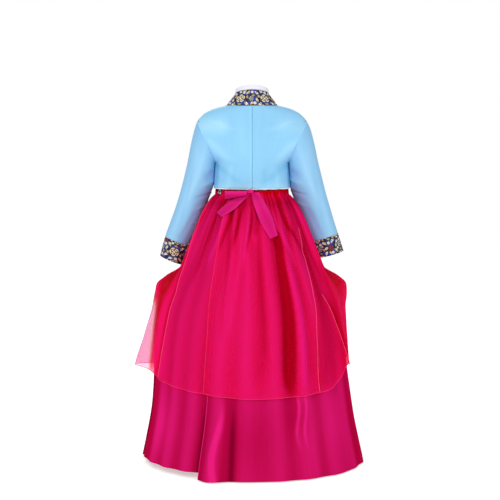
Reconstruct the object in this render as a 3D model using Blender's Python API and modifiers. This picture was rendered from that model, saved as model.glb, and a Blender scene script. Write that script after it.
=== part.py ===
"""Child's Korean hanbok: a short jacket over a full wrap skirt with a sheer overlay.

Each sewn piece is one thin-walled solid. Metres, +Z up, the front faces -Y and the
wearer's left is +X. The origin is at the base of the neck, between the shoulders.
Heights in the tables are measured from the skirt's hem.
"""

import math

import bpy
import numpy as np

OBJECT_NAME = "korean_hanbok"
NECK_HEIGHT = 0.990
SEAM_GAP = 0.0004

JACKET_WALL = 0.0020
SATIN_WALL = 0.0015
ORGANZA_WALL = 0.0012
BAND_WALL = 0.0030
RIBBON_WALL = 0.0012

# The skirt's crest line at each height, as an ellipse.
RING_COLUMNS = ("height", "half_width", "half_depth", "shift_back", "shift_left")
SKIRT_RINGS = (
    (0.000, 0.3140, 0.2800, 0.000, -0.0040),
    (0.060, 0.3010, 0.2730, 0.001, -0.0035),
    (0.130, 0.2870, 0.2620, 0.003, -0.0030),
    (0.200, 0.2770, 0.2500, 0.006, -0.0020),
    (0.270, 0.2690, 0.2390, 0.010, 0.0000),
    (0.350, 0.2610, 0.2280, 0.014, 0.0000),
    (0.430, 0.2460, 0.2150, 0.020, 0.0000),
    (0.500, 0.2190, 0.1980, 0.026, 0.0000),
    (0.565, 0.1890, 0.1780, 0.030, 0.0000),
    (0.625, 0.1660, 0.1570, 0.028, 0.0000),
    (0.675, 0.1460, 0.1390, 0.022, 0.0000),
    (0.712, 0.1280, 0.1210, 0.014, 0.0000),
    (0.735, 0.1130, 0.1060, 0.006, 0.0000),
    (0.750, 0.0970, 0.0890, 0.002, 0.0000),
)

# Gathers round the skirt. Angles are degrees from the centre back towards the wearer's
# left, at the waist and at the hem. Each depth is of the valley before the next crest.
FOLD_COLUMNS = ("waist_angle", "hem_angle", "waist_depth", "middle_depth", "hem_depth")
FOLDS = (
    (2.0, 4.0, 0.0040, 0.0070, 0.0090),
    (17.0, 21.0, 0.0050, 0.0090, 0.0140),
    (33.0, 37.0, 0.0040, 0.0060, 0.0080),
    (48.0, 52.0, 0.0050, 0.0100, 0.0150),
    (62.0, 66.0, 0.0040, 0.0080, 0.0100),
    (78.0, 80.0, 0.0050, 0.0090, 0.0120),
    (97.0, 97.0, 0.0050, 0.0100, 0.0140),
    (113.0, 112.0, 0.0040, 0.0070, 0.0100),
    (128.0, 126.0, 0.0050, 0.0090, 0.0140),
    (143.0, 141.0, 0.0040, 0.0070, 0.0090),
    (157.0, 155.0, 0.0050, 0.0100, 0.0150),
    (171.0, 170.0, 0.0040, 0.0070, 0.0100),
    (185.0, 186.0, 0.0050, 0.0090, 0.0130),
    (199.0, 201.0, 0.0040, 0.0070, 0.0090),
    (213.0, 216.0, 0.0050, 0.0100, 0.0150),
    (228.0, 231.0, 0.0040, 0.0080, 0.0100),
    (244.0, 246.0, 0.0050, 0.0090, 0.0130),
    (262.0, 263.0, 0.0040, 0.0080, 0.0100),
    (281.0, 281.0, 0.0050, 0.0090, 0.0140),
    (298.0, 297.0, 0.0040, 0.0070, 0.0090),
    (315.0, 314.0, 0.0050, 0.0110, 0.0160),
    (331.0, 331.0, 0.0050, 0.0110, 0.0120),
    (347.0, 347.0, 0.0040, 0.0080, 0.0100),
)
POINTS_PER_FOLD = 4
WAIST_HEIGHT = 0.7484
BAND_BOTTOM = 0.7500
MIDDLE_HEIGHT = 0.350

# Where the overlay is held up at each side, and how far that pulls the cloth out.
LIFT_ANGLE = 97.0
LIFT_SPREAD = 11.0
LIFT_COLUMNS = ("height", "overlay_left", "overlay_right", "satin_left")
LIFTS = (
    (0.150, 0.068, 0.003, 0.006),
    (0.270, 0.060, 0.004, 0.010),
    (0.350, 0.042, 0.005, 0.012),
    (0.430, 0.033, 0.015, 0.012),
    (0.474, 0.040, 0.034, 0.008),
    (0.500, 0.045, 0.042, 0.003),
    (0.520, 0.030, 0.030, 0.001),
    (0.548, 0.000, 0.000, 0.000),
    (0.750, 0.000, 0.000, 0.000),
)
OVERLAY_HEM = 0.203
OVERLAY_HEM_RISE = 0.050
OVERLAY_HEM_SPREAD = 22.0

# The over satin panel ends in a tube-like fold, and the under one hangs a little short.
TUBE_ANGLE = 21.0
TUBE_SPREAD = 9.0
TUBE_OUT = 0.024
TUBE_TOP = 0.230
SHORT_BY = 0.014
SHORT_FROM = 78.0
SHORT_EASE = 25.0
SHORT_TOP = 0.100

# Layers of the skirt, as inner faces moved out from the gathered form.
LAYER_COLUMNS = ("height", "plain_overlay", "over_satin", "under_overlay", "over_overlay")
LAYERS = (
    (0.000, 0.0045, 0.0034, 0.0068, 0.0100),
    (0.600, 0.0045, 0.0034, 0.0068, 0.0100),
    (0.680, 0.0050, 0.0042, 0.0084, 0.0122),
    (0.750, 0.0050, 0.0044, 0.0088, 0.0128),
)
OVERLAP_FROM = -50.0
OVERLAP_TO = 40.0
OVERLAP_EASE = 12.0

# Panel edges, counted in folds from the centre back towards the wearer's left.
SIDE_SEAM_LEFT = 5.25
SIDE_SEAM_RIGHT = 17.75
OVER_EDGE = 1.40
SATIN_UNDER_EDGE = -2.30
OVERLAY_UNDER_EDGE = -2.80

SATIN_LEVELS = (0.0, 0.10, 0.20, 0.315, 0.42, 0.50, 0.579, 0.65, 0.70, 0.73, WAIST_HEIGHT)
OVERLAY_LEVELS = (0.0, 0.21, 0.40, 0.545, 0.62, 0.69, 0.82, 0.91, 0.965, 1.0)

BAND_HEIGHT = 0.045
BAND_TOP_SCALE = 0.90
BAND_SEGMENTS = 36

# The jacket's body: half width at the sides and shoulders, and depth back and front.
BODY_COLUMNS = ("height", "half_width", "back_depth", "front_depth")
BODY = (
    (0.7625, 0.1050, 0.0960, 0.0980),
    (0.8000, 0.1035, 0.0900, 0.0930),
    (0.8380, 0.1015, 0.0860, 0.0900),
    (0.8930, 0.1250, 0.0830, 0.0850),
    (0.9320, 0.1430, 0.0740, 0.0760),
    (0.9480, 0.1500, 0.0680, 0.0690),
    (0.9660, 0.1370, 0.0610, 0.0610),
    (0.9830, 0.1080, 0.0545, 0.0520),
    (0.9930, 0.0715, 0.0500, 0.0460),
)
ARMPIT_HEIGHT = 0.838
SHOULDER_HEIGHT = 0.948
ARMHOLE_HALF_DEPTH = 0.062
ARMHOLE_STEPS = 8
ARMHOLE_TOPS = (-1.0, -0.6, 0.0, 1.0)
ARMHOLE_GAPS = (0.0039, 0.0038, 0.0015, 0.0006)
ARMHOLE_WALL_TOPS = (-1.0, -0.6, 1.0)
ARMHOLE_WALL_SHARES = (-0.4, 0.9, 1.0)
LOWER_LEVELS = (0.7625, 0.800)
UPPER_LEVELS = (0.966, 0.983, 0.993)
BACK_COLUMNS = 6
FRONT_COLUMNS = 8

# The front edge of each front: down the neckline, then straight to the hem.
EDGE_COLUMNS = ("height", "across")
FRONT_EDGE = (
    (0.7625, -0.0320),
    (0.8000, -0.0300),
    (0.8380, -0.0280),
    (0.8500, -0.0020),
    (0.8700, 0.0110),
    (0.8930, 0.0235),
    (0.9160, 0.0355),
    (0.9350, 0.0455),
    (0.9480, 0.0520),
    (0.9660, 0.0600),
    (0.9830, 0.0655),
    (0.9930, 0.0655),
)
OVER_FRONT_LIFT = 0.0050
OVER_FRONT_ACROSS = (0.062, 0.040)
OVER_FRONT_HEIGHTS = (0.962, 0.935)

COLLAR_LOW_END = 0.850
COLLAR_GAP = 0.0012
STRIP_GAP = 0.0016
CUFF_GAP = 0.0010
SIDE_SEAM_GAP = 0.006
COLLAR_BACK_RISE = 0.0365
COLLAR_SIDE_DROP = 0.0140
COLLAR_LEAN = 0.020
COLLAR_LEAN_HEIGHTS = (0.972, 1.004)
COLLAR_BODY_TOP = 0.985
COLLAR_FRONT_SHIFT = (-0.0232, 0.0118)
COLLAR_TOP = (0.0455, 0.0400, -0.0060)
STRIP_BACK_RISE = 0.0220
STRIP_SIDE_RISE = 0.0120
STRIP_NARROWS = 0.97
STRIP_LEANS_IN = 0.003
STRIP_FRONT_SHIFT = (-0.0085, 0.0045)

# The sleeve's rings below the armhole: outer and inner line, then the depth.
SLEEVE_COLUMNS = ("outer_x", "outer_height", "inner_x", "inner_height", "centre_y", "half_depth")
SLEEVE_LEFT = (
    (0.1580, 0.9290, 0.1075, 0.8260, -0.001, 0.0640),
    (0.1685, 0.8860, 0.1085, 0.8060, -0.004, 0.0620),
    (0.1780, 0.8380, 0.1095, 0.7840, -0.008, 0.0590),
    (0.1890, 0.7920, 0.1160, 0.7580, -0.014, 0.0560),
    (0.2020, 0.7450, 0.1285, 0.7220, -0.022, 0.0520),
    (0.2160, 0.7020, 0.1440, 0.6800, -0.030, 0.0480),
    (0.2325, 0.6580, 0.1630, 0.6370, -0.038, 0.0430),
    (0.2440, 0.6270, 0.1800, 0.6030, -0.044, 0.0370),
)
SLEEVE_RIGHT = (
    (0.1600, 0.9310, 0.1075, 0.8260, -0.001, 0.0640),
    (0.1720, 0.8880, 0.1085, 0.8080, -0.004, 0.0620),
    (0.1825, 0.8400, 0.1090, 0.7880, -0.008, 0.0590),
    (0.1940, 0.7940, 0.1125, 0.7640, -0.014, 0.0560),
    (0.2060, 0.7490, 0.1255, 0.7290, -0.026, 0.0510),
    (0.2185, 0.7080, 0.1425, 0.6880, -0.035, 0.0460),
    (0.2310, 0.6670, 0.1570, 0.6460, -0.040, 0.0420),
    (0.2410, 0.6370, 0.1700, 0.6130, -0.044, 0.0390),
)
CUFF_LEFT = (
    (0.2440, 0.6270, 0.1800, 0.6030, -0.0440, 0.0370),
    (0.2515, 0.6000, 0.1890, 0.5750, -0.0465, 0.0370),
    (0.2590, 0.5720, 0.1970, 0.5470, -0.0490, 0.0370),
)
CUFF_RIGHT = (
    (0.2410, 0.6370, 0.1700, 0.6130, -0.0440, 0.0390),
    (0.2495, 0.6115, 0.1775, 0.5900, -0.0465, 0.0390),
    (0.2580, 0.5860, 0.1850, 0.5660, -0.0490, 0.0390),
)
SLEEVE_SEGMENTS = 16

HEM_EDGE_RADIUS = 0.0022
HEM_EDGE_DROP = 0.0026
HEM_EDGE_TRIM = 0.0040

# Ribbons lie on the cloth behind them. Edges are across and height, down the ribbon.
RIBBON_COLUMNS = ("first_x", "first_height", "second_x", "second_height")
BOW_TAIL_LEFT = (
    (0.0100, 0.7450, 0.0060, 0.7390),
    (0.0320, 0.7400, 0.0250, 0.7235),
    (0.0560, 0.7290, 0.0460, 0.7075),
    (0.0780, 0.7125, 0.0660, 0.6950),
    (0.0960, 0.6960, 0.0830, 0.6850),
)
BOW_TAIL_RIGHT = (
    (0.0040, 0.7400, -0.0040, 0.7420),
    (-0.0040, 0.7180, -0.0270, 0.7270),
    (-0.0140, 0.6950, -0.0420, 0.7080),
    (-0.0310, 0.6630, -0.0580, 0.6800),
    (-0.0506, 0.6290, -0.0707, 0.6370),
)
FRONT_TAIL_LEFT = (
    (-0.0050, 0.8480, -0.0125, 0.8480),
    (0.0090, 0.8150, -0.0120, 0.8100),
    (0.0150, 0.7600, -0.0120, 0.7600),
    (0.0170, 0.7150, -0.0110, 0.7150),
    (0.0200, 0.6650, -0.0090, 0.6650),
    (0.0220, 0.6150, -0.0070, 0.6080),
)
FRONT_TAIL_RIGHT = (
    (-0.0145, 0.8480, -0.0220, 0.8480),
    (-0.0170, 0.8100, -0.0380, 0.8140),
    (-0.0170, 0.7600, -0.0440, 0.7600),
    (-0.0180, 0.7150, -0.0460, 0.7150),
    (-0.0190, 0.6750, -0.0480, 0.6750),
    (-0.0190, 0.6420, -0.0480, 0.6350),
)
BOW_KNOT = (0.0040, 0.7460)
BOW_KNOT_SIZE = (0.0180, 0.0130, 0.0190)
FRONT_KNOT = (-0.0135, 0.8460)
FRONT_KNOT_SIZE = (0.0200, 0.0130, 0.0190)
LOOP_REACH = 0.0600
LOOP_DEPTH = 0.0100
LOOP_HALF_WIDTH = (0.0055, 0.0105)
LOOP_SAG = 0.006
LOOP_STEPS = 12
LOOP_CLEARANCE = 0.0018
BOW_LOOP_GAP = 0.0004
FRONT_LOOP_GAP = 0.0
BOW_KNOT_CLEARANCE = 0.0017
FRONT_KNOT_CLEARANCE = 0.0009
KNOT_ROUNDING = 0.35
KNOT_ROUND_STEPS = 3
TAIL_ACROSS = 3
RIBBON_CLEARANCE = 0.0030
FRONT_RIBBON_CLEARANCE = 0.0032
FRONT_FACE_EASE = 0.050
TAIL_STEPS = 8

LOOKS = {
    "sky_satin": ((0.31, 0.68, 0.93), 0.45),
    "brocade": ((0.05, 0.06, 0.20), 0.55),
    "white_cotton": ((0.88, 0.87, 0.90), 0.70),
    "crimson_satin": ((0.58, 0.01, 0.12), 0.35),
    "crimson_organza": ((0.72, 0.02, 0.15), 0.45),
    "ribbon_satin": ((0.66, 0.02, 0.16), 0.35),
}


def column(table, columns, name):
    """One named column of a table."""
    return np.array([row[columns.index(name)] for row in table])


def smooth(at, knots, values):
    """A smooth curve through the knots that doesn't overshoot them."""
    knots = np.asarray(knots, float)
    values = np.asarray(values, float)
    at = np.clip(np.asarray(at, float), knots[0], knots[-1])
    steps = np.diff(knots)
    slopes = np.diff(values) / steps
    tangents = np.concatenate(([slopes[0]], slopes[1:], [slopes[-1]]))
    for i in range(1, len(knots) - 1):
        before, after = slopes[i - 1], slopes[i]
        tangents[i] = 2 * before * after / (before + after) if before * after > 0 else 0.0
    i = np.clip(np.searchsorted(knots, at, side="right") - 1, 0, len(knots) - 2)
    f = (at - knots[i]) / steps[i]
    start = (1 + 2 * f) * (1 - f) ** 2 * values[i] + f * (1 - f) ** 2 * steps[i] * tangents[i]
    end = f * f * (3 - 2 * f) * values[i + 1] - f * f * (1 - f) * steps[i] * tangents[i + 1]
    return start + end


def ease(at, start, end):
    """0 at start and 1 at end, with no corner at either."""
    f = np.clip((at - start) / (end - start), 0.0, 1.0)
    return f * f * (3 - 2 * f)


def table_value(table, columns, name, height):
    return smooth(height, column(table, columns, "height"), column(table, columns, name))


def fold_angle(fold, height):
    """The angle in degrees of a place counted in folds, at a height."""
    number = np.arange(-len(FOLDS), 2 * len(FOLDS))
    turns = 360.0 * np.floor_divide(number, len(FOLDS))
    waist = column(FOLDS, FOLD_COLUMNS, "waist_angle")[number % len(FOLDS)] + turns
    hem = column(FOLDS, FOLD_COLUMNS, "hem_angle")[number % len(FOLDS)] + turns
    share = height / WAIST_HEIGHT
    return np.interp(fold, number, hem) * (1 - share) + np.interp(fold, number, waist) * share


def fold_depth(fold, height):
    """How far a place lies behind the crests on each side of it."""
    before = int(math.floor(fold)) % len(FOLDS)
    row = FOLDS[before]
    depths = [row[FOLD_COLUMNS.index(name)] for name in FOLD_COLUMNS[:1:-1]]
    valley = smooth(height, (0.0, MIDDLE_HEIGHT, WAIST_HEIGHT), depths)
    return valley * math.sin(math.pi * fold) ** 2


def from_side(angle, side):
    """Degrees from where the overlay is held up on one side."""
    return (angle - side * LIFT_ANGLE + 180.0) % 360.0 - 180.0


def near_side(angle, side, spread):
    return np.exp(-((from_side(angle, side) / spread) ** 2))


def skirt_point(fold, height, layer):
    """A place on the skirt, moved out by the layer's own rule."""
    degrees = fold_angle(fold, height)
    angle = math.radians(degrees)
    half_width = table_value(SKIRT_RINGS, RING_COLUMNS, "half_width", height)
    half_depth = table_value(SKIRT_RINGS, RING_COLUMNS, "half_depth", height)
    back = table_value(SKIRT_RINGS, RING_COLUMNS, "shift_back", height)
    left = table_value(SKIRT_RINGS, RING_COLUMNS, "shift_left", height)
    out = np.array([half_depth * math.sin(angle), half_width * math.cos(angle)])
    out /= np.linalg.norm(out)
    move = layer(degrees, height) - fold_depth(fold, height)
    x = left + half_width * math.sin(angle) + out[0] * move
    y = back + half_depth * math.cos(angle) + out[1] * move
    return x, y, height


def overlap(degrees):
    """1 where the back panels lie over each other, 0 away from there."""
    turned = (degrees + 180.0) % 360.0 - 180.0
    start = ease(turned, OVERLAP_FROM - OVERLAP_EASE, OVERLAP_FROM)
    end = ease(turned, OVERLAP_TO + OVERLAP_EASE, OVERLAP_TO)
    return start * end


def satin_lift(degrees, height):
    out = table_value(LIFTS, LIFT_COLUMNS, "satin_left", height)
    return out * near_side(degrees, 1, LIFT_SPREAD)


def overlay_lift(degrees, height):
    left = table_value(LIFTS, LIFT_COLUMNS, "overlay_left", height)
    right = table_value(LIFTS, LIFT_COLUMNS, "overlay_right", height)
    return left * near_side(degrees, 1, LIFT_SPREAD) + right * near_side(degrees, -1, LIFT_SPREAD)


def layer_value(name, height):
    return table_value(LAYERS, LAYER_COLUMNS, name, height)


def under_satin(degrees, height):
    return satin_lift(degrees, height)


def over_satin(degrees, height):
    tube = np.exp(-(((degrees - TUBE_ANGLE) / TUBE_SPREAD) ** 2)) * ease(height, TUBE_TOP, 0.0)
    over = overlap(degrees) * layer_value("over_satin", height)
    return over + TUBE_OUT * tube + satin_lift(degrees, height)


def under_overlay(degrees, height):
    plain = layer_value("plain_overlay", height)
    raised = layer_value("under_overlay", height)
    return plain + overlap(degrees) * (raised - plain) + overlay_lift(degrees, height)


def over_overlay(degrees, height):
    plain = layer_value("plain_overlay", height)
    raised = layer_value("over_overlay", height)
    return plain + overlap(degrees) * (raised - plain) + overlay_lift(degrees, height)


def overlay_height(fold, level):
    """Height of a level of the overlay, where 0 is its hem and 1 the waist."""
    degrees = fold_angle(fold, OVERLAY_HEM)
    sides = near_side(degrees, 1, OVERLAY_HEM_SPREAD) + near_side(degrees, -1, OVERLAY_HEM_SPREAD)
    hem = OVERLAY_HEM + OVERLAY_HEM_RISE * sides
    return hem + (WAIST_HEIGHT - hem) * level


def fold_columns(start, end):
    """Places from one panel edge to the other, with every crest and valley between."""
    first = math.ceil(start * POINTS_PER_FOLD + 0.5)
    last = math.floor(end * POINTS_PER_FOLD - 0.5)
    between = [i / POINTS_PER_FOLD for i in range(first, last + 1)]
    return [start] + between + [end]


def satin_height(fold, level, short):
    """Height of a level of the satin, which is raised at the hem of a short panel."""
    degrees = fold_angle(fold, 0.0)
    return level + short * ease(degrees, SHORT_FROM + SHORT_EASE, SHORT_FROM) * ease(level, SHORT_TOP, 0.0)


def satin_panel(name, start, end, layer, short=0.0):
    places = fold_columns(start, end)
    rows = []
    for level in SATIN_LEVELS:
        heights = [satin_height(place, level, short) for place in places]
        rows.append([skirt_point(*pair, layer) for pair in zip(places, heights)])
    add_sheet(name, rows, "crimson_satin", SATIN_WALL)


def overlay_panel(name, start, end, layer):
    places = fold_columns(start, end)
    rows = [
        [skirt_point(place, overlay_height(place, level), layer) for place in places]
        for level in OVERLAY_LEVELS
    ]
    add_sheet(name, rows, "crimson_organza", ORGANZA_WALL)


def to_frame(rows):
    """Points with heights from the hem, as an array in the object's frame."""
    points = np.array(rows, float)
    points[..., 2] -= NECK_HEIGHT
    return points


def add_sheet(name, rows, look, wall, round_tube=False, inward=False):
    """An open surface, given row by row from the hem up, thickened to a wall."""
    points = to_frame(rows)
    count, across = points.shape[:2]
    span = across if round_tube else across - 1
    faces = []
    for i in range(count - 1):
        for j in range(span):
            k = (j + 1) % across
            face = (i * across + j, (i + 1) * across + j, (i + 1) * across + k, i * across + k)
            faces.append(face)
    mesh = bpy.data.meshes.new(name)
    mesh.from_pydata(points.reshape(-1, 3).tolist(), [], faces)
    mesh.materials.append(bpy.data.materials[look])
    obj = bpy.data.objects.new(name, mesh)
    bpy.data.collections[OBJECT_NAME].objects.link(obj)
    solid = obj.modifiers.new("wall", "SOLIDIFY")
    solid.thickness = wall
    solid.offset = -1.0 if inward else 1.0
    solid.use_even_offset = True
    solid.use_quality_normals = True
    return obj


def body_ring(height, depth_name):
    """Ellipse of the body at a height, and the angle where its panels end."""
    depth = float(table_value(BODY, BODY_COLUMNS, depth_name, height))
    side = float(table_value(BODY, BODY_COLUMNS, "half_width", height))
    up = (height - ARMPIT_HEIGHT) / (SHOULDER_HEIGHT - ARMPIT_HEIGHT)
    if not 0.0 < up < 1.0:
        return side, depth, math.pi / 2
    side = armhole_x(up)
    seam_depth = ARMHOLE_HALF_DEPTH * math.sqrt(1 - (2 * up - 1) ** 2)
    end = math.acos(seam_depth / depth)
    return side / math.sin(end), depth, end


def armhole_x(up):
    bottom = table_value(BODY, BODY_COLUMNS, "half_width", ARMPIT_HEIGHT)
    top = table_value(BODY, BODY_COLUMNS, "half_width", SHOULDER_HEIGHT)
    return float(bottom + (top - bottom) * up)


def body_levels():
    """Heights of the body's rows, which meet the sleeve's points at the armhole."""
    turn = np.linspace(-math.pi, 0.0, ARMHOLE_STEPS + 1)
    up = (1 + np.cos(turn)) / 2
    between = ARMPIT_HEIGHT + (SHOULDER_HEIGHT - ARMPIT_HEIGHT) * up
    return list(LOWER_LEVELS) + between.tolist() + list(UPPER_LEVELS)


def back_panel(name, side):
    rows = []
    for height in body_levels():
        width, depth, end = body_ring(height, "back_depth")
        row = []
        for angle in np.linspace(0.0, end, BACK_COLUMNS + 1):
            x = width * math.sin(angle) + SEAM_GAP / 2
            y = depth * math.cos(angle) + SEAM_GAP / 2
            row.append((side * x, y, height))
        rows.append(row[:: int(side)])
    add_sheet(name, rows, "sky_satin", JACKET_WALL)


def front_lift(x, height):
    """How far the over front and its collar stand off the under front."""
    return OVER_FRONT_LIFT * ease(x, *OVER_FRONT_ACROSS) * ease(height, *OVER_FRONT_HEIGHTS)


def front_surface(x, height, over):
    """Depth of the front at a place across it."""
    width, depth, _ = body_ring(height, "front_depth")
    y = depth * math.sqrt(max(0.0, 1 - (x / width) ** 2))
    return -y - (front_lift(x, height) if over else 0.0)


def front_panel(name, side):
    over = side > 0
    rows = []
    for height in body_levels():
        width, _, end = body_ring(height, "front_depth")
        edge = float(table_value(FRONT_EDGE, EDGE_COLUMNS, "across", height))
        row = []
        for angle in np.linspace(math.asin(edge / width), end, FRONT_COLUMNS + 1):
            x = width * math.sin(angle)
            y = front_surface(x, height, over) - SEAM_GAP / 2
            row.append((side * x, y, height))
        rows.append(row[:: -int(side)])
    add_sheet(name, rows, "sky_satin", JACKET_WALL)


def neck_line():
    """The collar's seam from the centre back to the front end of one side."""
    line = []
    height = UPPER_LEVELS[-1]
    width, depth, _ = body_ring(height, "back_depth")
    for angle in np.linspace(0.0, math.pi / 2, BACK_COLUMNS + 1):
        line.append(("back", angle, width * math.sin(angle), depth * math.cos(angle), height))
    for height in reversed(body_levels()):
        if height < COLLAR_LOW_END:
            break
        x = float(table_value(FRONT_EDGE, EDGE_COLUMNS, "across", height))
        line.append(("front", math.pi / 2, x, 0.0, height))
    return line


def collar_edges(over):
    """Seam edge, fold edge and strip edge of one half of the collar."""
    seam, top, strip = [], [], []
    top_width, top_depth, top_centre = COLLAR_TOP
    for where, angle, x, y, height in neck_line():
        if where == "back":
            back = math.cos(angle)
            rise = COLLAR_BACK_RISE - COLLAR_SIDE_DROP * (1 - back)
            tall = STRIP_SIDE_RISE + (STRIP_BACK_RISE - STRIP_SIDE_RISE) * back
            above = (top_width * math.sin(angle), top_centre + top_depth * back, height + rise)
            seam.append((x, y, height))
            top.append(above)
            across, deep, up = above
            strip.append((across * STRIP_NARROWS, deep - STRIP_LEANS_IN * back, up + tall))
            continue
        seam.append((x, front_surface(x, height, over), height))
        across, up = x + COLLAR_FRONT_SHIFT[0], height + COLLAR_FRONT_SHIFT[1]
        top.append((across, collar_depth(across, up, over), up))
        across, up = across + STRIP_FRONT_SHIFT[0], up + STRIP_FRONT_SHIFT[1]
        strip.append((across, collar_depth(across, up, over), up))
    return np.array(seam), np.array(top), np.array(strip)


def collar_depth(x, height, over):
    """Depth of the front collar, which leans back to the neck near its top."""
    on_body = front_surface(x, min(height, COLLAR_BODY_TOP), over)
    return on_body + COLLAR_LEAN * ease(height, *COLLAR_LEAN_HEIGHTS)


def collar_rows(lower, upper, steps, gap):
    """Rows between two edges, with the seam gap taken off the lower edge."""
    lengths = np.linalg.norm(upper - lower, axis=1)[:, None]
    start = lower + (upper - lower) * gap / lengths
    return [start + (upper - start) * share for share in np.linspace(0.0, 1.0, steps + 1)]


def add_collar():
    halves = {over: collar_edges(over) for over in (True, False)}
    edges = []
    for kind in range(3):
        left = halves[True][kind]
        right = halves[False][kind] * np.array([-1.0, 1.0, 1.0])
        edges.append(np.concatenate((right[:0:-1], left)))
    seam, top, strip = edges
    collar = collar_rows(seam, top, 2, COLLAR_GAP)
    white = collar_rows(top, strip, 1, STRIP_GAP)
    add_sheet("collar", [row[::-1] for row in collar][::-1], "brocade", JACKET_WALL)
    add_sheet("collar_strip", [row[::-1] for row in white][::-1], "white_cotton", JACKET_WALL)


def ring(outer_x, outer_height, inner_x, inner_height, centre_y, half_depth, side):
    """One ring of a sleeve, from its outer line back round to its inner line."""
    row = []
    for turn in np.linspace(0.0, 2 * math.pi, SLEEVE_SEGMENTS, endpoint=False):
        share = (1 + math.cos(turn)) / 2
        x = inner_x + (outer_x - inner_x) * share
        height = inner_height + (outer_height - inner_height) * share
        row.append((side * x, centre_y + half_depth * math.sin(turn), height))
    return row


def sleeve_rings(table, side):
    return [ring(side=side, **dict(zip(SLEEVE_COLUMNS, line))) for line in table]


def armhole_ring(side):
    """The sleeve's first ring, clear of the jacket's wall all round."""
    line = np.array([armhole_x(1.0) - armhole_x(0.0), SHOULDER_HEIGHT - ARMPIT_HEIGHT])
    line /= np.linalg.norm(line)
    away = np.array([line[1], -line[0]])
    row = []
    for turn in np.linspace(0.0, 2 * math.pi, SLEEVE_SEGMENTS, endpoint=False):
        top = math.cos(turn)
        up = (1 + top) / 2
        out = JACKET_WALL * float(smooth(top, ARMHOLE_WALL_TOPS, ARMHOLE_WALL_SHARES))
        along = SEAM_GAP + float(smooth(top, ARMHOLE_TOPS, ARMHOLE_GAPS))
        place = np.array([armhole_x(up), ARMPIT_HEIGHT + (SHOULDER_HEIGHT - ARMPIT_HEIGHT) * up])
        place = place + line * out * top + away * along
        depth = (ARMHOLE_HALF_DEPTH + abs(out)) * math.sin(turn)
        row.append((side * place[0], depth, place[1]))
    return row


def add_sleeve(name, side, table):
    rows = [armhole_ring(side)] + sleeve_rings(table, side)
    rows = [row[:: int(side)] for row in rows[::-1]]
    add_sheet(name, rows, "sky_satin", JACKET_WALL, round_tube=True, inward=True)


def add_cuff(name, side, table):
    rows = np.array(sleeve_rings(table, side))
    step = rows[1] - rows[0]
    rows[0] += step * CUFF_GAP / np.linalg.norm(step, axis=1)[:, None]
    rows = [row[:: int(side)] for row in rows[::-1]]
    add_sheet(name, rows, "brocade", JACKET_WALL, round_tube=True, inward=True)


def hem_line(panel, over):
    """The middle of a jacket panel's hem, dropped to where its rolled edge lies."""
    height = LOWER_LEVELS[0]
    width, depth, _ = body_ring(height, "back_depth" if panel == "back" else "front_depth")
    edge = float(table_value(FRONT_EDGE, EDGE_COLUMNS, "across", height))
    line = []
    if panel == "back":
        for angle in np.linspace(-math.pi / 2, math.pi / 2, 2 * BACK_COLUMNS + 3):
            line.append((width * math.sin(angle), depth * math.cos(angle)))
    else:
        for angle in np.linspace(math.asin(edge / width), math.pi / 2, FRONT_COLUMNS + 2):
            x = width * math.sin(angle)
            line.append((x, front_surface(x, height, over)))
    points = np.array(line)
    outward = points / np.linalg.norm(points, axis=1)[:, None]
    points = points + outward * JACKET_WALL / 2
    return [(x, y, height - HEM_EDGE_DROP) for x, y in points]


def add_hem_edge(name, line, side=1):
    """A rolled edge as a round cord with flat ends, a little short at each end."""
    points = to_frame([line])[0] * np.array([side, 1.0, 1.0])
    for end, inner in ((0, 1), (-1, -2)):
        step = points[inner] - points[end]
        points[end] += step / np.linalg.norm(step) * HEM_EDGE_TRIM
    curve = bpy.data.curves.new(name, "CURVE")
    curve.dimensions = "3D"
    curve.bevel_depth = HEM_EDGE_RADIUS
    curve.bevel_resolution = 1
    curve.use_fill_caps = True
    spline = curve.splines.new("POLY")
    spline.points.add(len(points) - 1)
    for target, point in zip(spline.points, points):
        target.co = (*point, 1.0)
    curve.materials.append(bpy.data.materials["white_cotton"])
    obj = bpy.data.objects.new(name, curve)
    bpy.data.collections[OBJECT_NAME].objects.link(obj)


def add_waistband():
    half_width = float(table_value(SKIRT_RINGS, RING_COLUMNS, "half_width", BAND_BOTTOM))
    half_depth = float(table_value(SKIRT_RINGS, RING_COLUMNS, "half_depth", BAND_BOTTOM))
    back = float(table_value(SKIRT_RINGS, RING_COLUMNS, "shift_back", BAND_BOTTOM))
    rows = []
    for height, scale in ((BAND_BOTTOM, 1.0), (BAND_BOTTOM + BAND_HEIGHT, BAND_TOP_SCALE)):
        row = []
        for turn in np.linspace(0.0, 2 * math.pi, BAND_SEGMENTS, endpoint=False):
            x = half_width * scale * math.sin(turn)
            row.append((x, back + half_depth * scale * math.cos(turn), height))
        rows.append(row)
    add_sheet("waistband", rows, "brocade", BAND_WALL, round_tube=True)


def back_face(x, height):
    """The outermost depth of the skirt's back."""
    width = float(table_value(SKIRT_RINGS, RING_COLUMNS, "half_width", height))
    depth = float(table_value(SKIRT_RINGS, RING_COLUMNS, "half_depth", height))
    back = float(table_value(SKIRT_RINGS, RING_COLUMNS, "shift_back", height))
    out = float(layer_value("over_overlay", height)) + ORGANZA_WALL + RIBBON_CLEARANCE
    return back + (depth + out) * math.sqrt(1 - (x / (width + out)) ** 2)


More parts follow.
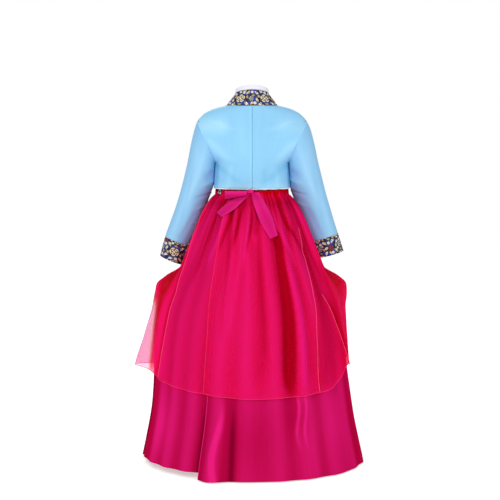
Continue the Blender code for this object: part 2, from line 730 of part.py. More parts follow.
def front_face(x, height):
    """The outermost depth of the jacket's front, then of the skirt's below its hem."""
    width = float(table_value(SKIRT_RINGS, RING_COLUMNS, "half_width", height))
    depth = float(table_value(SKIRT_RINGS, RING_COLUMNS, "half_depth", height))
    back = float(table_value(SKIRT_RINGS, RING_COLUMNS, "shift_back", height))
    out = float(layer_value("plain_overlay", height)) + ORGANZA_WALL + RIBBON_CLEARANCE
    skirt = back - (depth + out) * math.sqrt(1 - (x / (width + out)) ** 2)
    hem = LOWER_LEVELS[0]
    off = OVER_FRONT_LIFT + JACKET_WALL + FRONT_RIBBON_CLEARANCE
    jacket = front_surface(x, max(height, hem), False) - off
    below = ease(height, hem, hem - FRONT_FACE_EASE)
    return min(skirt, jacket * (1 - below) + skirt * below)


def add_tail(name, table, face):
    """A ribbon end that lies on the cloth behind it."""
    rows = []
    knots = np.linspace(0.0, 1.0, len(table))
    for down in np.linspace(0.0, 1.0, TAIL_STEPS + 1):
        edges = {name: smooth(down, knots, column(table, RIBBON_COLUMNS, name)) for name in RIBBON_COLUMNS}
        first = np.array([edges["first_x"], edges["first_height"]])
        second = np.array([edges["second_x"], edges["second_height"]])
        row = []
        for share in np.linspace(0.0, 1.0, TAIL_ACROSS):
            x, height = first + (second - first) * share
            row.append((x, face(x, height), height))
        rows.append(row)
    outward = -1 if face is front_face else 1
    add_sheet(name, [row[::outward] for row in rows[::-1]], "ribbon_satin", RIBBON_WALL)


def add_knot(name, place, size, face, clearance):
    """The ribbon's knot: a rounded block."""
    x, height = place
    outward = -1 if face is front_face else 1
    top, bottom = face(x, height + size[2] / 2), face(x, height - size[2] / 2)
    lean = math.atan2(top - bottom, size[2])
    off = outward * (size[1] / 2 + clearance)
    y = (top + bottom) / 2 + off * math.cos(lean)
    z = height - NECK_HEIGHT - off * math.sin(lean)
    bpy.ops.mesh.primitive_cube_add(size=1.0, location=(x, y, z), rotation=(-lean, 0.0, 0.0))
    obj = bpy.context.object
    obj.name = name
    obj.scale = size
    bpy.ops.object.transform_apply(location=False, rotation=False, scale=True)
    for collection in obj.users_collection:
        collection.objects.unlink(obj)
    bpy.data.collections[OBJECT_NAME].objects.link(obj)
    obj.data.materials.append(bpy.data.materials["ribbon_satin"])
    round_off = obj.modifiers.new("rounding", "BEVEL")
    round_off.width = min(size) * KNOT_ROUNDING
    round_off.segments = KNOT_ROUND_STEPS


def add_loop(name, place, knot_size, side, face, gap):
    """One loop of ribbon that leaves the knot, turns at its tip and comes back over."""
    x, height = place
    outward = -1 if face is front_face else 1
    start = x + side * (knot_size[0] / 2 + gap)
    rows = []
    for turn in np.linspace(0.0, math.pi, LOOP_STEPS + 1):
        reach = math.sin(turn)
        across = start + side * LOOP_REACH * reach
        off = LOOP_CLEARANCE + RIBBON_WALL + LOOP_DEPTH * (1 - math.cos(turn)) / 2
        narrow, wide = LOOP_HALF_WIDTH
        half = narrow + (wide - narrow) * reach
        drop = height - LOOP_SAG * reach
        row = []
        for share in (-1.0, 0.0, 1.0):
            level = drop + half * share
            row.append((across, face(across, level) + outward * off, level))
        rows.append(row)
    turned = 1 if side * outward > 0 else -1
    add_sheet(name, [row[::turned] for row in rows], "ribbon_satin", RIBBON_WALL)


def start_clean():
    for obj in list(bpy.data.objects):
        bpy.data.objects.remove(obj)
    collection = bpy.data.collections.new(OBJECT_NAME)
    bpy.context.scene.collection.children.link(collection)
    for name, (colour, roughness) in LOOKS.items():
        material = bpy.data.materials.new(name)
        material.use_nodes = True
        shader = material.node_tree.nodes["Principled BSDF"]
        shader.inputs["Base Color"].default_value = (*colour, 1.0)
        shader.inputs["Roughness"].default_value = roughness


def build_skirt():
    turn = len(FOLDS)
    satin_panel("satin_front", SIDE_SEAM_LEFT, SIDE_SEAM_RIGHT, under_satin)
    satin_panel("satin_back_left", SATIN_UNDER_EDGE, SIDE_SEAM_LEFT - SIDE_SEAM_GAP, under_satin, SHORT_BY)
    satin_panel("satin_back_right", SIDE_SEAM_RIGHT - turn + SIDE_SEAM_GAP, OVER_EDGE, over_satin)
    overlay_panel("organza_front", SIDE_SEAM_LEFT, SIDE_SEAM_RIGHT, under_overlay)
    overlay_panel("organza_back_left", OVERLAY_UNDER_EDGE, SIDE_SEAM_LEFT - SIDE_SEAM_GAP, under_overlay)
    overlay_panel("organza_back_right", SIDE_SEAM_RIGHT - turn + SIDE_SEAM_GAP, OVER_EDGE, over_overlay)
    add_waistband()
    add_knot("bow_knot", BOW_KNOT, BOW_KNOT_SIZE, back_face, BOW_KNOT_CLEARANCE)
    add_loop("bow_loop", BOW_KNOT, BOW_KNOT_SIZE, 1, back_face, BOW_LOOP_GAP)
    add_tail("bow_tail_left", BOW_TAIL_LEFT, back_face)
    add_tail("bow_tail_right", BOW_TAIL_RIGHT, back_face)


def build_jacket():
    back_panel("back_left", 1)
    back_panel("back_right", -1)
    front_panel("front_left", 1)
    front_panel("front_right", -1)
    add_sleeve("sleeve_left", 1, SLEEVE_LEFT)
    add_sleeve("sleeve_right", -1, SLEEVE_RIGHT)
    add_cuff("cuff_left", 1, CUFF_LEFT)
    add_cuff("cuff_right", -1, CUFF_RIGHT)
    add_collar()
    add_hem_edge("hem_edge_back", hem_line("back", False))
    add_hem_edge("hem_edge_left", hem_line("front", True))
    add_hem_edge("hem_edge_right", hem_line("front", False), -1)
    add_knot("tie_knot", FRONT_KNOT, FRONT_KNOT_SIZE, front_face, FRONT_KNOT_CLEARANCE)
    add_loop("tie_loop", FRONT_KNOT, FRONT_KNOT_SIZE, 1, front_face, FRONT_LOOP_GAP)
    add_tail("tie_tail_left", FRONT_TAIL_LEFT, front_face)
    add_tail("tie_tail_right", FRONT_TAIL_RIGHT, front_face)


start_clean()
build_jacket()
build_skirt()
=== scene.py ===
"""Looks for the hanbok: a short jacket over a full wrap skirt with a sheer overlay.

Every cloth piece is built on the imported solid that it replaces, in metres, +Z up. The
front faces -Y and the wearer's left is +X. Heights in the tables are measured from the
skirt's hem, and angles in degrees from the centre back towards the wearer's left.
"""

import math

import bpy
import numpy as np
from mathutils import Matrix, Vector


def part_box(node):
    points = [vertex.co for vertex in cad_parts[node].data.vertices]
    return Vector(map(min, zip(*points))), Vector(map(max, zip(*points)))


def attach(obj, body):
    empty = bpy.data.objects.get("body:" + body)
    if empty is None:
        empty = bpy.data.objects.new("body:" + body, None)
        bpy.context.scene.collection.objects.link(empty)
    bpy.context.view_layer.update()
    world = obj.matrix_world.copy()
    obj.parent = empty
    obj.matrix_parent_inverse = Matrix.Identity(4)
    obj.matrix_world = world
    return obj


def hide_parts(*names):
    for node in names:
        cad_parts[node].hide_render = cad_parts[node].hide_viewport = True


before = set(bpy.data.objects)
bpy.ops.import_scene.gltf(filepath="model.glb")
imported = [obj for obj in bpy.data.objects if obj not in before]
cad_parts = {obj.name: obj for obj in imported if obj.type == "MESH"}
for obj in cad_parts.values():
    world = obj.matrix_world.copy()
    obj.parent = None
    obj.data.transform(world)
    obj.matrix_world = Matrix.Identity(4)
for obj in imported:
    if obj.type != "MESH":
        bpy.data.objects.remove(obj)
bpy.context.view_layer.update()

NECK_HEIGHT = 0.990
SEAM_GAP = 0.0004
JACKET_WALL = 0.0020
ORGANZA_WALL = 0.0012
BAND_WALL = 0.0030
RIBBON_WALL = 0.0012

# The camera stands behind the garment, a little above the jacket's hem.
CAMERA_PLACE = (0.0, 4.0, -0.04)
CAMERA_TILT = 5.12
CAMERA_LENS = 103.1
CAMERA_SHIFT = -0.004

RING_COLUMNS = ("height", "half_width", "half_depth", "shift_back", "shift_left")
SKIRT_RINGS = (
    (0.000, 0.3140, 0.2800, 0.000, -0.0040),
    (0.060, 0.3010, 0.2730, 0.001, -0.0035),
    (0.130, 0.2870, 0.2620, 0.003, -0.0030),
    (0.200, 0.2770, 0.2500, 0.006, -0.0020),
    (0.270, 0.2690, 0.2390, 0.010, 0.0000),
    (0.350, 0.2610, 0.2280, 0.014, 0.0000),
    (0.430, 0.2460, 0.2150, 0.020, 0.0000),
    (0.500, 0.2190, 0.1980, 0.026, 0.0000),
    (0.565, 0.1890, 0.1780, 0.030, 0.0000),
    (0.625, 0.1660, 0.1570, 0.028, 0.0000),
    (0.675, 0.1460, 0.1390, 0.022, 0.0000),
    (0.712, 0.1280, 0.1210, 0.014, 0.0000),
    (0.735, 0.1130, 0.1060, 0.006, 0.0000),
    (0.750, 0.0970, 0.0890, 0.002, 0.0000),
)

FOLD_COLUMNS = ("waist_angle", "hem_angle", "waist_depth", "middle_depth", "hem_depth")
FOLDS = (
    (2.0, 4.0, 0.0040, 0.0070, 0.0090),
    (17.0, 21.0, 0.0050, 0.0090, 0.0140),
    (33.0, 37.0, 0.0040, 0.0060, 0.0080),
    (48.0, 52.0, 0.0050, 0.0100, 0.0150),
    (62.0, 66.0, 0.0040, 0.0080, 0.0100),
    (78.0, 80.0, 0.0050, 0.0090, 0.0120),
    (97.0, 97.0, 0.0050, 0.0100, 0.0140),
    (113.0, 112.0, 0.0040, 0.0070, 0.0100),
    (128.0, 126.0, 0.0050, 0.0090, 0.0140),
    (143.0, 141.0, 0.0040, 0.0070, 0.0090),
    (157.0, 155.0, 0.0050, 0.0100, 0.0150),
    (171.0, 170.0, 0.0040, 0.0070, 0.0100),
    (185.0, 186.0, 0.0050, 0.0090, 0.0130),
    (199.0, 201.0, 0.0040, 0.0070, 0.0090),
    (213.0, 216.0, 0.0050, 0.0100, 0.0150),
    (228.0, 231.0, 0.0040, 0.0080, 0.0100),
    (244.0, 246.0, 0.0050, 0.0090, 0.0130),
    (262.0, 263.0, 0.0040, 0.0080, 0.0100),
    (281.0, 281.0, 0.0050, 0.0090, 0.0140),
    (298.0, 297.0, 0.0040, 0.0070, 0.0090),
    (315.0, 314.0, 0.0050, 0.0110, 0.0160),
    (331.0, 331.0, 0.0050, 0.0110, 0.0120),
    (347.0, 347.0, 0.0040, 0.0080, 0.0100),
)
WAIST_HEIGHT = 0.7484
BAND_BOTTOM = 0.7500
BAND_HALF = (0.0970, 0.0890)
SATIN_OVER_BAND = 0.0030
OVERLAY_OVER_BAND = 0.0052
MIDDLE_HEIGHT = 0.350

LIFT_ANGLE = 97.0
LIFT_SPREAD = 11.0
LIFT_COLUMNS = ("height", "overlay_left", "overlay_right", "satin_left")
LIFTS = (
    (0.150, 0.068, 0.003, 0.006),
    (0.270, 0.060, 0.004, 0.010),
    (0.350, 0.042, 0.005, 0.012),
    (0.430, 0.033, 0.015, 0.012),
    (0.474, 0.040, 0.034, 0.008),
    (0.500, 0.045, 0.042, 0.003),
    (0.520, 0.030, 0.030, 0.001),
    (0.548, 0.000, 0.000, 0.000),
    (0.750, 0.000, 0.000, 0.000),
)
OVERLAY_HEM = 0.218
HEM_COLUMNS = ("angle", "rise")
OVERLAY_HEM_RISES = (
    (-180.0, 0.000),
    (-130.0, 0.026),
    (-97.0, 0.066),
    (-80.0, 0.062),
    (-62.0, 0.034),
    (-45.0, 0.009),
    (-20.0, 0.002),
    (0.0, 0.000),
    (28.0, 0.008),
    (48.0, 0.016),
    (65.0, 0.023),
    (97.0, 0.046),
    (130.0, 0.024),
    (180.0, 0.000),
)
RUFFLE_HEIGHT = 0.0142
RUFFLE_PART = (64.0, 9.0)

TUBE_ANGLE = 21.0
TUBE_SPREAD = 9.0
TUBE_OUT = 0.024
TUBE_TOP = 0.230
SHORT_BY = 0.014
SHORT_FROM = 78.0
SHORT_EASE = 25.0
SHORT_TOP = 0.100

LAYER_COLUMNS = ("height", "plain_overlay", "over_satin", "under_overlay", "over_overlay")
LAYERS = (
    (0.000, 0.0045, 0.0034, 0.0068, 0.0100),
    (0.600, 0.0045, 0.0034, 0.0068, 0.0100),
    (0.680, 0.0050, 0.0042, 0.0084, 0.0122),
    (0.750, 0.0050, 0.0044, 0.0088, 0.0128),
)
OVERLAP_FROM = -50.0
OVERLAP_TO = 40.0
OVERLAP_EASE = 12.0

SIDE_SEAM_LEFT = 5.25
SIDE_SEAM_RIGHT = 17.75
OVER_EDGE = 1.40
SATIN_UNDER_EDGE = -2.30
OVERLAY_OVER_EDGE = 1.52
OVERLAY_UNDER_EDGE = -2.80
EDGE_LEAN = 0.32

# Gathers at the waistband: how deep they are on their way down.
GATHER_COUNT = 50
GATHER_COLUMNS = ("height", "depth")
GATHERS = (
    (0.460, 0.0000),
    (0.540, 0.0004),
    (0.620, 0.0013),
    (0.680, 0.0023),
    (0.720, 0.0030),
    (0.7484, 0.0026),
)

# Creases at listed places. Each runs between two places, with its width in degrees.
# Columns: angle_top, top, angle_low, low, width, out.
CREASES = (
    (-12.0, 0.735, -26.0, 0.600, 3.2, -0.0050),
    (-26.0, 0.640, -21.5, 0.230, 3.0, -0.0060),
    (-20.0, 0.745, -38.0, 0.560, 2.6, 0.0030),
    (-31.0, 0.600, -31.0, 0.230, 3.0, 0.0030),
    (-33.0, 0.740, -52.0, 0.560, 2.4, -0.0040),
    (2.5, 0.745, 7.5, 0.560, 1.6, 0.0024),
    (-1.0, 0.715, 4.5, 0.600, 1.2, -0.0028),
    (12.0, 0.730, 17.0, 0.610, 1.7, -0.0034),
    (9.0, 0.700, 13.0, 0.380, 2.0, 0.0022),
    (23.0, 0.720, 30.0, 0.600, 2.0, -0.0030),
    (28.0, 0.740, 38.0, 0.560, 2.0, 0.0030),
    (44.0, 0.740, 50.0, 0.520, 2.4, -0.0034),
    (20.0, 0.640, 19.0, 0.380, 1.8, -0.0020),
    (-6.0, 0.600, -8.0, 0.300, 2.2, -0.0018),
    (56.0, 0.745, 63.0, 0.560, 2.6, 0.0026),
    (70.0, 0.740, 84.0, 0.545, 2.4, -0.0030),
    (88.0, 0.560, 97.0, 0.500, 3.0, -0.0030),
    (104.0, 0.740, 101.0, 0.540, 2.2, 0.0026),
    (118.0, 0.745, 110.0, 0.520, 2.6, -0.0034),
    (120.0, 0.600, 101.0, 0.495, 2.4, 0.0030),
    (134.0, 0.740, 128.0, 0.540, 2.2, 0.0024),
    (147.0, 0.745, 144.0, 0.480, 2.4, -0.0030),
    (152.0, 0.620, 153.0, 0.300, 2.4, 0.0022),
    (163.0, 0.740, 166.0, 0.560, 2.0, -0.0030),
    (176.0, 0.745, 177.0, 0.500, 2.2, 0.0026),
    (182.0, 0.640, 180.0, 0.300, 2.4, -0.0024),
    (192.0, 0.740, 196.0, 0.560, 2.2, -0.0030),
    (206.0, 0.745, 212.0, 0.500, 2.4, 0.0028),
    (220.0, 0.740, 228.0, 0.540, 2.4, -0.0032),
    (236.0, 0.745, 243.0, 0.520, 2.2, 0.0026),
    (250.0, 0.740, 255.0, 0.540, 2.6, -0.0034),
    (241.0, 0.600, 259.0, 0.495, 2.4, 0.0028),
    (268.0, 0.745, 264.0, 0.540, 2.2, 0.0026),
    (280.0, 0.740, 276.0, 0.545, 2.6, -0.0032),
    (294.0, 0.745, 288.0, 0.560, 2.4, 0.0026),
    (302.0, 0.740, 296.0, 0.520, 2.4, -0.0030),
)

# Painted light and shade on the cloth, as places with a spread each way: painted shade below zero, painted
# highlight above it.
# Columns: angle, height, angle_spread, height_spread, amount.
OVERLAY_PAINTED_LIGHT = (
    (-24.0, 0.42, 4.0, 0.20, -0.45),
    (-31.5, 0.44, 3.0, 0.16, 0.15),
    (-70.0, 0.40, 22.0, 0.20, -0.42),
    (84.0, 0.52, 9.0, 0.05, -0.55),
    (88.0, 0.44, 4.0, 0.10, -0.25),
    (108.0, 0.52, 9.0, 0.05, -0.35),
    (-86.0, 0.53, 9.0, 0.05, -0.45),
    (-108.0, 0.52, 9.0, 0.05, -0.35),
    (12.0, 0.40, 10.0, 0.16, 0.16),
    (-5.0, 0.30, 8.0, 0.14, 0.06),
    (45.0, 0.42, 8.0, 0.12, 0.08),
    (38.0, 0.62, 6.0, 0.06, 0.12),
    (33.0, 0.30, 5.0, 0.16, -0.12),
    (84.0, 0.36, 7.0, 0.14, -0.26),
    (160.0, 0.40, 14.0, 0.20, 0.12),
    (200.0, 0.45, 12.0, 0.20, -0.12),
    (-125.0, 0.45, 12.0, 0.20, -0.15),
    (130.0, 0.40, 9.0, 0.20, -0.12),
)
SATIN_PAINTED_LIGHT = (
    (62.0, 0.12, 11.0, 0.09, 0.30),
    (90.0, 0.14, 15.0, 0.22, -0.52),
    (0.0, 0.10, 14.0, 0.10, -0.14),
    (-24.0, 0.17, 7.0, 0.05, -0.16),
    (-34.0, 0.10, 3.0, 0.16, 0.14),
    (-52.0, 0.14, 10.0, 0.08, 0.12),
    (-84.0, 0.12, 12.0, 0.18, -0.30),
    (130.0, 0.12, 12.0, 0.12, 0.18),
    (180.0, 0.10, 16.0, 0.12, -0.10),
    (-140.0, 0.12, 12.0, 0.12, 0.16),
)

# The woven flowers, in millimetres on a repeat: roses, leaves and small blossoms.
REPEAT = (66.0, 60.0)
CREAM = (0.95, 0.84, 0.58)
IVORY = (0.97, 0.95, 0.84)
GOLD = (0.62, 0.46, 0.22)
BRICK = (0.50, 0.060, 0.040)
NAVY = (0.005, 0.006, 0.036)
ROYAL = (0.010, 0.045, 0.360)
INK = (0.008, 0.006, 0.016)
# Columns: u, v, radius, turn, colour.
ROSES = (
    (33.0, 22.0, 13.0, 10.0, CREAM),
    (2.0, 49.0, 8.8, 40.0, BRICK),
    (34.0, 52.0, 7.6, 70.0, IVORY),
    (62.0, 23.0, 6.8, 25.0, IVORY),
)
# Columns: u, v, length, width, turn, colour.
LEAVES = (
    (50.0, 37.0, 14.0, 6.4, 50.0, IVORY),
    (17.0, 40.0, 14.0, 6.2, -50.0, CREAM),
    (12.0, 7.0, 14.0, 6.4, 30.0, IVORY),
    (53.0, 6.0, 14.0, 6.4, -35.0, CREAM),
    (11.0, 26.0, 12.0, 6.0, 80.0, CREAM),
    (55.0, 51.0, 13.0, 6.0, 10.0, IVORY),
    (20.0, 54.0, 11.0, 5.2, 70.0, CREAM),
    (46.0, 48.0, 10.0, 5.0, -60.0, GOLD),
    (51.0, 18.0, 10.0, 5.0, 85.0, GOLD),
    (2.0, 14.0, 10.0, 5.0, -20.0, GOLD),
    (27.0, 2.0, 11.0, 5.0, 20.0, IVORY),
    (64.0, 36.0, 10.0, 5.0, -60.0, CREAM),
    (34.0, 39.5, 9.0, 4.6, 0.0, GOLD),
)
# Columns: u, v, radius, turn, colour.
BLOSSOMS = (
    (17.0, 16.0, 4.0, 0.0, GOLD),
    (40.0, 4.0, 4.4, 20.0, IVORY),
    (5.0, 36.0, 4.2, 40.0, IVORY),
    (65.0, 4.0, 4.2, 10.0, IVORY),
    (24.0, 44.5, 3.6, 30.0, IVORY),
    (44.0, 58.0, 3.6, 15.0, GOLD),
)
# Where the pattern starts on each piece, in millimetres.
CUFF_LEFT_START = (-18.4, -6.0)
CUFF_RIGHT_START = (-4.3, 29.4)
COLLAR_START = (63.0, -3.5)

# Where the overlay folds over itself beside each raised place.
# Columns: angle, height.
FOLD_LINE_LEFT = (
    (76.0, 0.735),
    (75.0, 0.680),
    (73.0, 0.629),
    (67.5, 0.538),
    (62.5, 0.480),
    (62.5, 0.410),
    (64.0, 0.342),
    (67.0, 0.280),
    (68.5, 0.245),
)
FOLD_LINE_RIGHT = (
    (-55.0, 0.484),
    (-58.5, 0.440),
    (-63.0, 0.388),
    (-74.0, 0.316),
    (-80.0, 0.275),
)
FOLD_LINE_BACK = (
    (-52.0, 0.663),
    (-50.5, 0.630),
    (-48.0, 0.560),
    (-44.6, 0.480),
    (-41.5, 0.371),
    (-41.0, 0.305),
    (-40.3, 0.225),
)
FOLD_LINE_OUTER = (
    (-99.0, 0.492),
    (-98.0, 0.440),
    (-96.0, 0.380),
    (-94.0, 0.330),
)
# How calm the skirt's folds lie beside the raised places.
# Columns: angle, spread, share.
CALM = ((66.0, 26.0, 0.72), (-68.0, 22.0, 0.66), (30.0, 10.0, 0.30))
LOW_CALM = ((-2.0, 12.0, 0.75), (-28.0, 16.0, 0.72), (-50.0, 12.0, 0.35))
# Left of this line the raised overlay is one thin layer with nothing behind it.
FLUTE_TOP = (0.263, 0.480)
FLUTE_LOW = (0.287, 0.253)

BODY_COLUMNS = ("height", "half_width", "back_depth", "front_depth")
BODY = (
    (0.7625, 0.1050, 0.0960, 0.0980),
    (0.8000, 0.1035, 0.0900, 0.0930),
    (0.8380, 0.1015, 0.0860, 0.0900),
    (0.8930, 0.1250, 0.0830, 0.0850),
    (0.9320, 0.1430, 0.0740, 0.0760),
    (0.9480, 0.1500, 0.0680, 0.0690),
    (0.9660, 0.1370, 0.0610, 0.0610),
    (0.9830, 0.1080, 0.0545, 0.0520),
    (0.9930, 0.0715, 0.0500, 0.0460),
)
ARMPIT_HEIGHT = 0.838
SHOULDER_HEIGHT = 0.948
ARMHOLE_HALF_DEPTH = 0.062
# Soft creases of the jacket: places across and up, width, and how far out.
# Columns: across_top, top, across_low, low, width, out.
BACK_CREASES = (
    (0.0930, 0.842, 0.0960, 0.768, 0.0030, -0.0024),
    (-0.1010, 0.838, -0.1000, 0.770, 0.0030, -0.0030),
    (0.0960, 0.832, 0.0450, 0.788, 0.0090, -0.0016),
    (-0.0960, 0.836, -0.0480, 0.792, 0.0100, -0.0018),
    (0.1180, 0.900, 0.0700, 0.850, 0.0120, 0.0016),
    (-0.1160, 0.896, -0.0740, 0.846, 0.0120, 0.0018),
    (0.0600, 0.825, 0.0640, 0.764, 0.0080, 0.0012),
    (-0.0350, 0.820, -0.0300, 0.764, 0.0090, -0.0012),
    (-0.0680, 0.815, -0.0720, 0.764, 0.0070, 0.0014),
    (0.0300, 0.960, 0.0220, 0.860, 0.0140, 0.0008),
    (0.1020, 0.952, 0.0560, 0.930, 0.0070, 0.0010),
    (-0.1040, 0.952, -0.0560, 0.928, 0.0070, 0.0010),
)
FRONT_CREASES = (
    (0.0900, 0.842, 0.0500, 0.800, 0.0090, -0.0016),
    (-0.0920, 0.842, -0.0480, 0.804, 0.0090, -0.0018),
    (0.0760, 0.830, 0.0820, 0.768, 0.0070, 0.0014),
    (-0.0740, 0.826, -0.0800, 0.768, 0.0070, 0.0016),
    (0.1120, 0.900, 0.0800, 0.850, 0.0100, 0.0014),
    (-0.1120, 0.900, -0.0820, 0.850, 0.0100, 0.0014),
)
# Soft creases of a sleeve: degrees round it from the outside, share of its length.
# Columns: turn_start, start, turn_end, end, width, out.
SLEEVE_CREASES = (
    (150.0, 0.14, 118.0, 0.30, 13.0, -0.0026),
    (170.0, 0.24, 112.0, 0.40, 12.0, 0.0020),
    (176.0, 0.42, 105.0, 0.52, 11.0, -0.0024),
    (178.0, 0.54, 120.0, 0.64, 11.0, 0.0018),
    (95.0, 0.10, 70.0, 0.60, 12.0, 0.0014),
    (55.0, 0.30, 78.0, 0.85, 11.0, -0.0012),
    (120.0, 0.62, 100.0, 0.96, 12.0, -0.0016),
    (150.0, 0.70, 145.0, 0.98, 10.0, 0.0014),
    (215.0, 0.20, 250.0, 0.42, 14.0, -0.0024),
    (190.0, 0.44, 255.0, 0.54, 12.0, 0.0020),
    (185.0, 0.56, 240.0, 0.70, 12.0, -0.0022),
    (290.0, 0.25, 275.0, 0.80, 14.0, 0.0014),
)
JACKET_HEM = 0.7625
JACKET_TOP = 0.993
HEM_SHOWN = 0.7675

EDGE_COLUMNS = ("height", "across")
FRONT_EDGE = (
    (0.7625, -0.0320),
    (0.8000, -0.0300),
    (0.8380, -0.0280),
    (0.8500, -0.0020),
    (0.8700, 0.0110),
    (0.8930, 0.0235),
    (0.9160, 0.0355),
    (0.9350, 0.0455),
    (0.9480, 0.0520),
    (0.9660, 0.0600),
    (0.9830, 0.0655),
    (0.9930, 0.0655),
)
OVER_FRONT_LIFT = 0.0050
COLLAR_LOW_END = 0.850
COLLAR_GAP = 0.0012
STRIP_GAP = 0.0016
CUFF_GAP = 0.0010
COLLAR_BACK_RISE = 0.0450
COLLAR_SIDE_DROP = 0.014
COLLAR_FRONT_SHIFT = (-0.0232, 0.0118)
COLLAR_TOP = (0.0455, 0.0400, -0.0060)
STRIP_BACK_RISE = 0.0130
STRIP_SIDE_RISE = 0.0120
STRIP_FRONT_SHIFT = (-0.0085, 0.0045)

# Columns: outer_x, outer_height, inner_x, inner_height, centre_y, half_depth.
SLEEVE_LEFT = (
    (0.1580, 0.9290, 0.1046, 0.8260, -0.001, 0.0640),
    (0.1685, 0.8860, 0.1057, 0.8060, -0.004, 0.0620),
    (0.1780, 0.8380, 0.1072, 0.7840, -0.008, 0.0590),
    (0.1890, 0.7920, 0.1145, 0.7580, -0.014, 0.0560),
    (0.2020, 0.7450, 0.1285, 0.7220, -0.022, 0.0520),
    (0.2160, 0.7020, 0.1440, 0.6800, -0.030, 0.0480),
    (0.2325, 0.6580, 0.1630, 0.6370, -0.038, 0.0430),
    (0.2440, 0.6270, 0.1800, 0.6030, -0.044, 0.0370),
)
SLEEVE_RIGHT = (
    (0.1600, 0.9310, 0.1046, 0.8260, -0.001, 0.0640),
    (0.1720, 0.8880, 0.1057, 0.8080, -0.004, 0.0620),
    (0.1825, 0.8400, 0.1070, 0.7880, -0.008, 0.0590),
    (0.1940, 0.7940, 0.1098, 0.7640, -0.014, 0.0560),
    (0.2060, 0.7490, 0.1225, 0.7290, -0.026, 0.0510),
    (0.2185, 0.7080, 0.1425, 0.6880, -0.035, 0.0460),
    (0.2310, 0.6670, 0.1570, 0.6460, -0.040, 0.0420),
    (0.2410, 0.6370, 0.1700, 0.6130, -0.044, 0.0390),
)
CUFF_LEFT = (
    (0.2440, 0.6270, 0.1800, 0.6030, -0.0440, 0.0370),
    (0.2515, 0.6000, 0.1890, 0.5750, -0.0465, 0.0370),
    (0.2590, 0.5720, 0.1970, 0.5470, -0.0490, 0.0370),
)
CUFF_RIGHT = (
    (0.2410, 0.6370, 0.1700, 0.6130, -0.0440, 0.0390),
    (0.2495, 0.6115, 0.1775, 0.5900, -0.0465, 0.0390),
    (0.2580, 0.5860, 0.1850, 0.5660, -0.0490, 0.0390),
)

BOW_TAIL_LEFT = (
    (0.0100, 0.7580, 0.0060, 0.7520),
    (0.0320, 0.7530, 0.0250, 0.7355),
    (0.0560, 0.7380, 0.0460, 0.7165),
    (0.0780, 0.7215, 0.0660, 0.7040),
    (0.0960, 0.7050, 0.0830, 0.6940),
)
BOW_TAIL_RIGHT = (
    (0.0040, 0.7590, -0.0190, 0.7590),
    (-0.0045, 0.7285, -0.0371, 0.7285),
    (-0.0196, 0.6893, -0.0560, 0.6910),
    (-0.0350, 0.6606, -0.0640, 0.6650),
    (-0.0493, 0.6387, -0.0690, 0.6462),
)
FRONT_TAIL_LEFT = (
    (-0.0050, 0.8480, -0.0125, 0.8480),
    (0.0090, 0.8150, -0.0120, 0.8100),
    (0.0150, 0.7600, -0.0120, 0.7600),
    (0.0170, 0.7150, -0.0110, 0.7150),
    (0.0200, 0.6650, -0.0090, 0.6650),
    (0.0220, 0.6150, -0.0070, 0.6080),
)
FRONT_TAIL_RIGHT = (
    (-0.0145, 0.8480, -0.0220, 0.8480),
    (-0.0170, 0.8100, -0.0380, 0.8140),
    (-0.0170, 0.7600, -0.0440, 0.7600),
    (-0.0180, 0.7150, -0.0460, 0.7150),
    (-0.0190, 0.6750, -0.0480, 0.6750),
    (-0.0190, 0.6420, -0.0480, 0.6350),
)
BOW_KNOT = (0.0040, 0.7570)
BOW_KNOT_SIZE = (0.0180, 0.0130, 0.0190)
FRONT_KNOT = (-0.0135, 0.8460)
FRONT_KNOT_SIZE = (0.0200, 0.0130, 0.0190)
LOOP_REACH = 0.0600
LOOP_DEPTH = 0.0100
LOOP_HALF_WIDTH = (0.0055, 0.0105)
LOOP_CLEARANCE = 0.0018
RIBBON_CLEARANCE = 0.0030
FRONT_RIBBON_CLEARANCE = 0.0032
BAND_HEIGHT = 0.045
BAND_TOP_SCALE = 0.90


# Shared maths.


def column(table, columns, name):
    """One named column of a table."""
    return np.array([row[columns.index(name)] for row in table])


def smooth(at, knots, values):
    """A smooth curve through the knots that doesn't overshoot them."""
    knots = np.asarray(knots, float)
    values = np.asarray(values, float)
    at = np.clip(np.asarray(at, float), knots[0], knots[-1])
    steps = np.diff(knots)
    slopes = np.diff(values) / steps
    tangents = np.concatenate(([slopes[0]], slopes[1:], [slopes[-1]]))
    for i in range(1, len(knots) - 1):
        before, after = slopes[i - 1], slopes[i]
        tangents[i] = 2 * before * after / (before + after) if before * after > 0 else 0.0
    i = np.clip(np.searchsorted(knots, at, side="right") - 1, 0, len(knots) - 2)
    f = (at - knots[i]) / steps[i]
    start = (1 + 2 * f) * (1 - f) ** 2 * values[i] + f * (1 - f) ** 2 * steps[i] * tangents[i]
    end = f * f * (3 - 2 * f) * values[i + 1] - f * f * (1 - f) * steps[i] * tangents[i + 1]
    return start + end


def ease(at, start, end):
    """0 at start and 1 at end, with no corner at either."""
    f = np.clip((np.asarray(at, float) - start) / (end - start), 0.0, 1.0)
    return f * f * (3 - 2 * f)


def table_value(table, columns, name, height):
    return smooth(height, column(table, columns, "height"), column(table, columns, name))


def turned(degrees):
    """An angle as -180 to 180 degrees."""
    return (np.asarray(degrees, float) + 180.0) % 360.0 - 180.0


# The skirt's form.


def fold_angle(fold, height):
    number = np.arange(-len(FOLDS), 2 * len(FOLDS))
    turns = 360.0 * np.floor_divide(number, len(FOLDS))
    waist = column(FOLDS, FOLD_COLUMNS, "waist_angle")[number % len(FOLDS)] + turns
    hem = column(FOLDS, FOLD_COLUMNS, "hem_angle")[number % len(FOLDS)] + turns
    share = height / WAIST_HEIGHT
    return np.interp(fold, number, hem) * (1 - share) + np.interp(fold, number, waist) * share


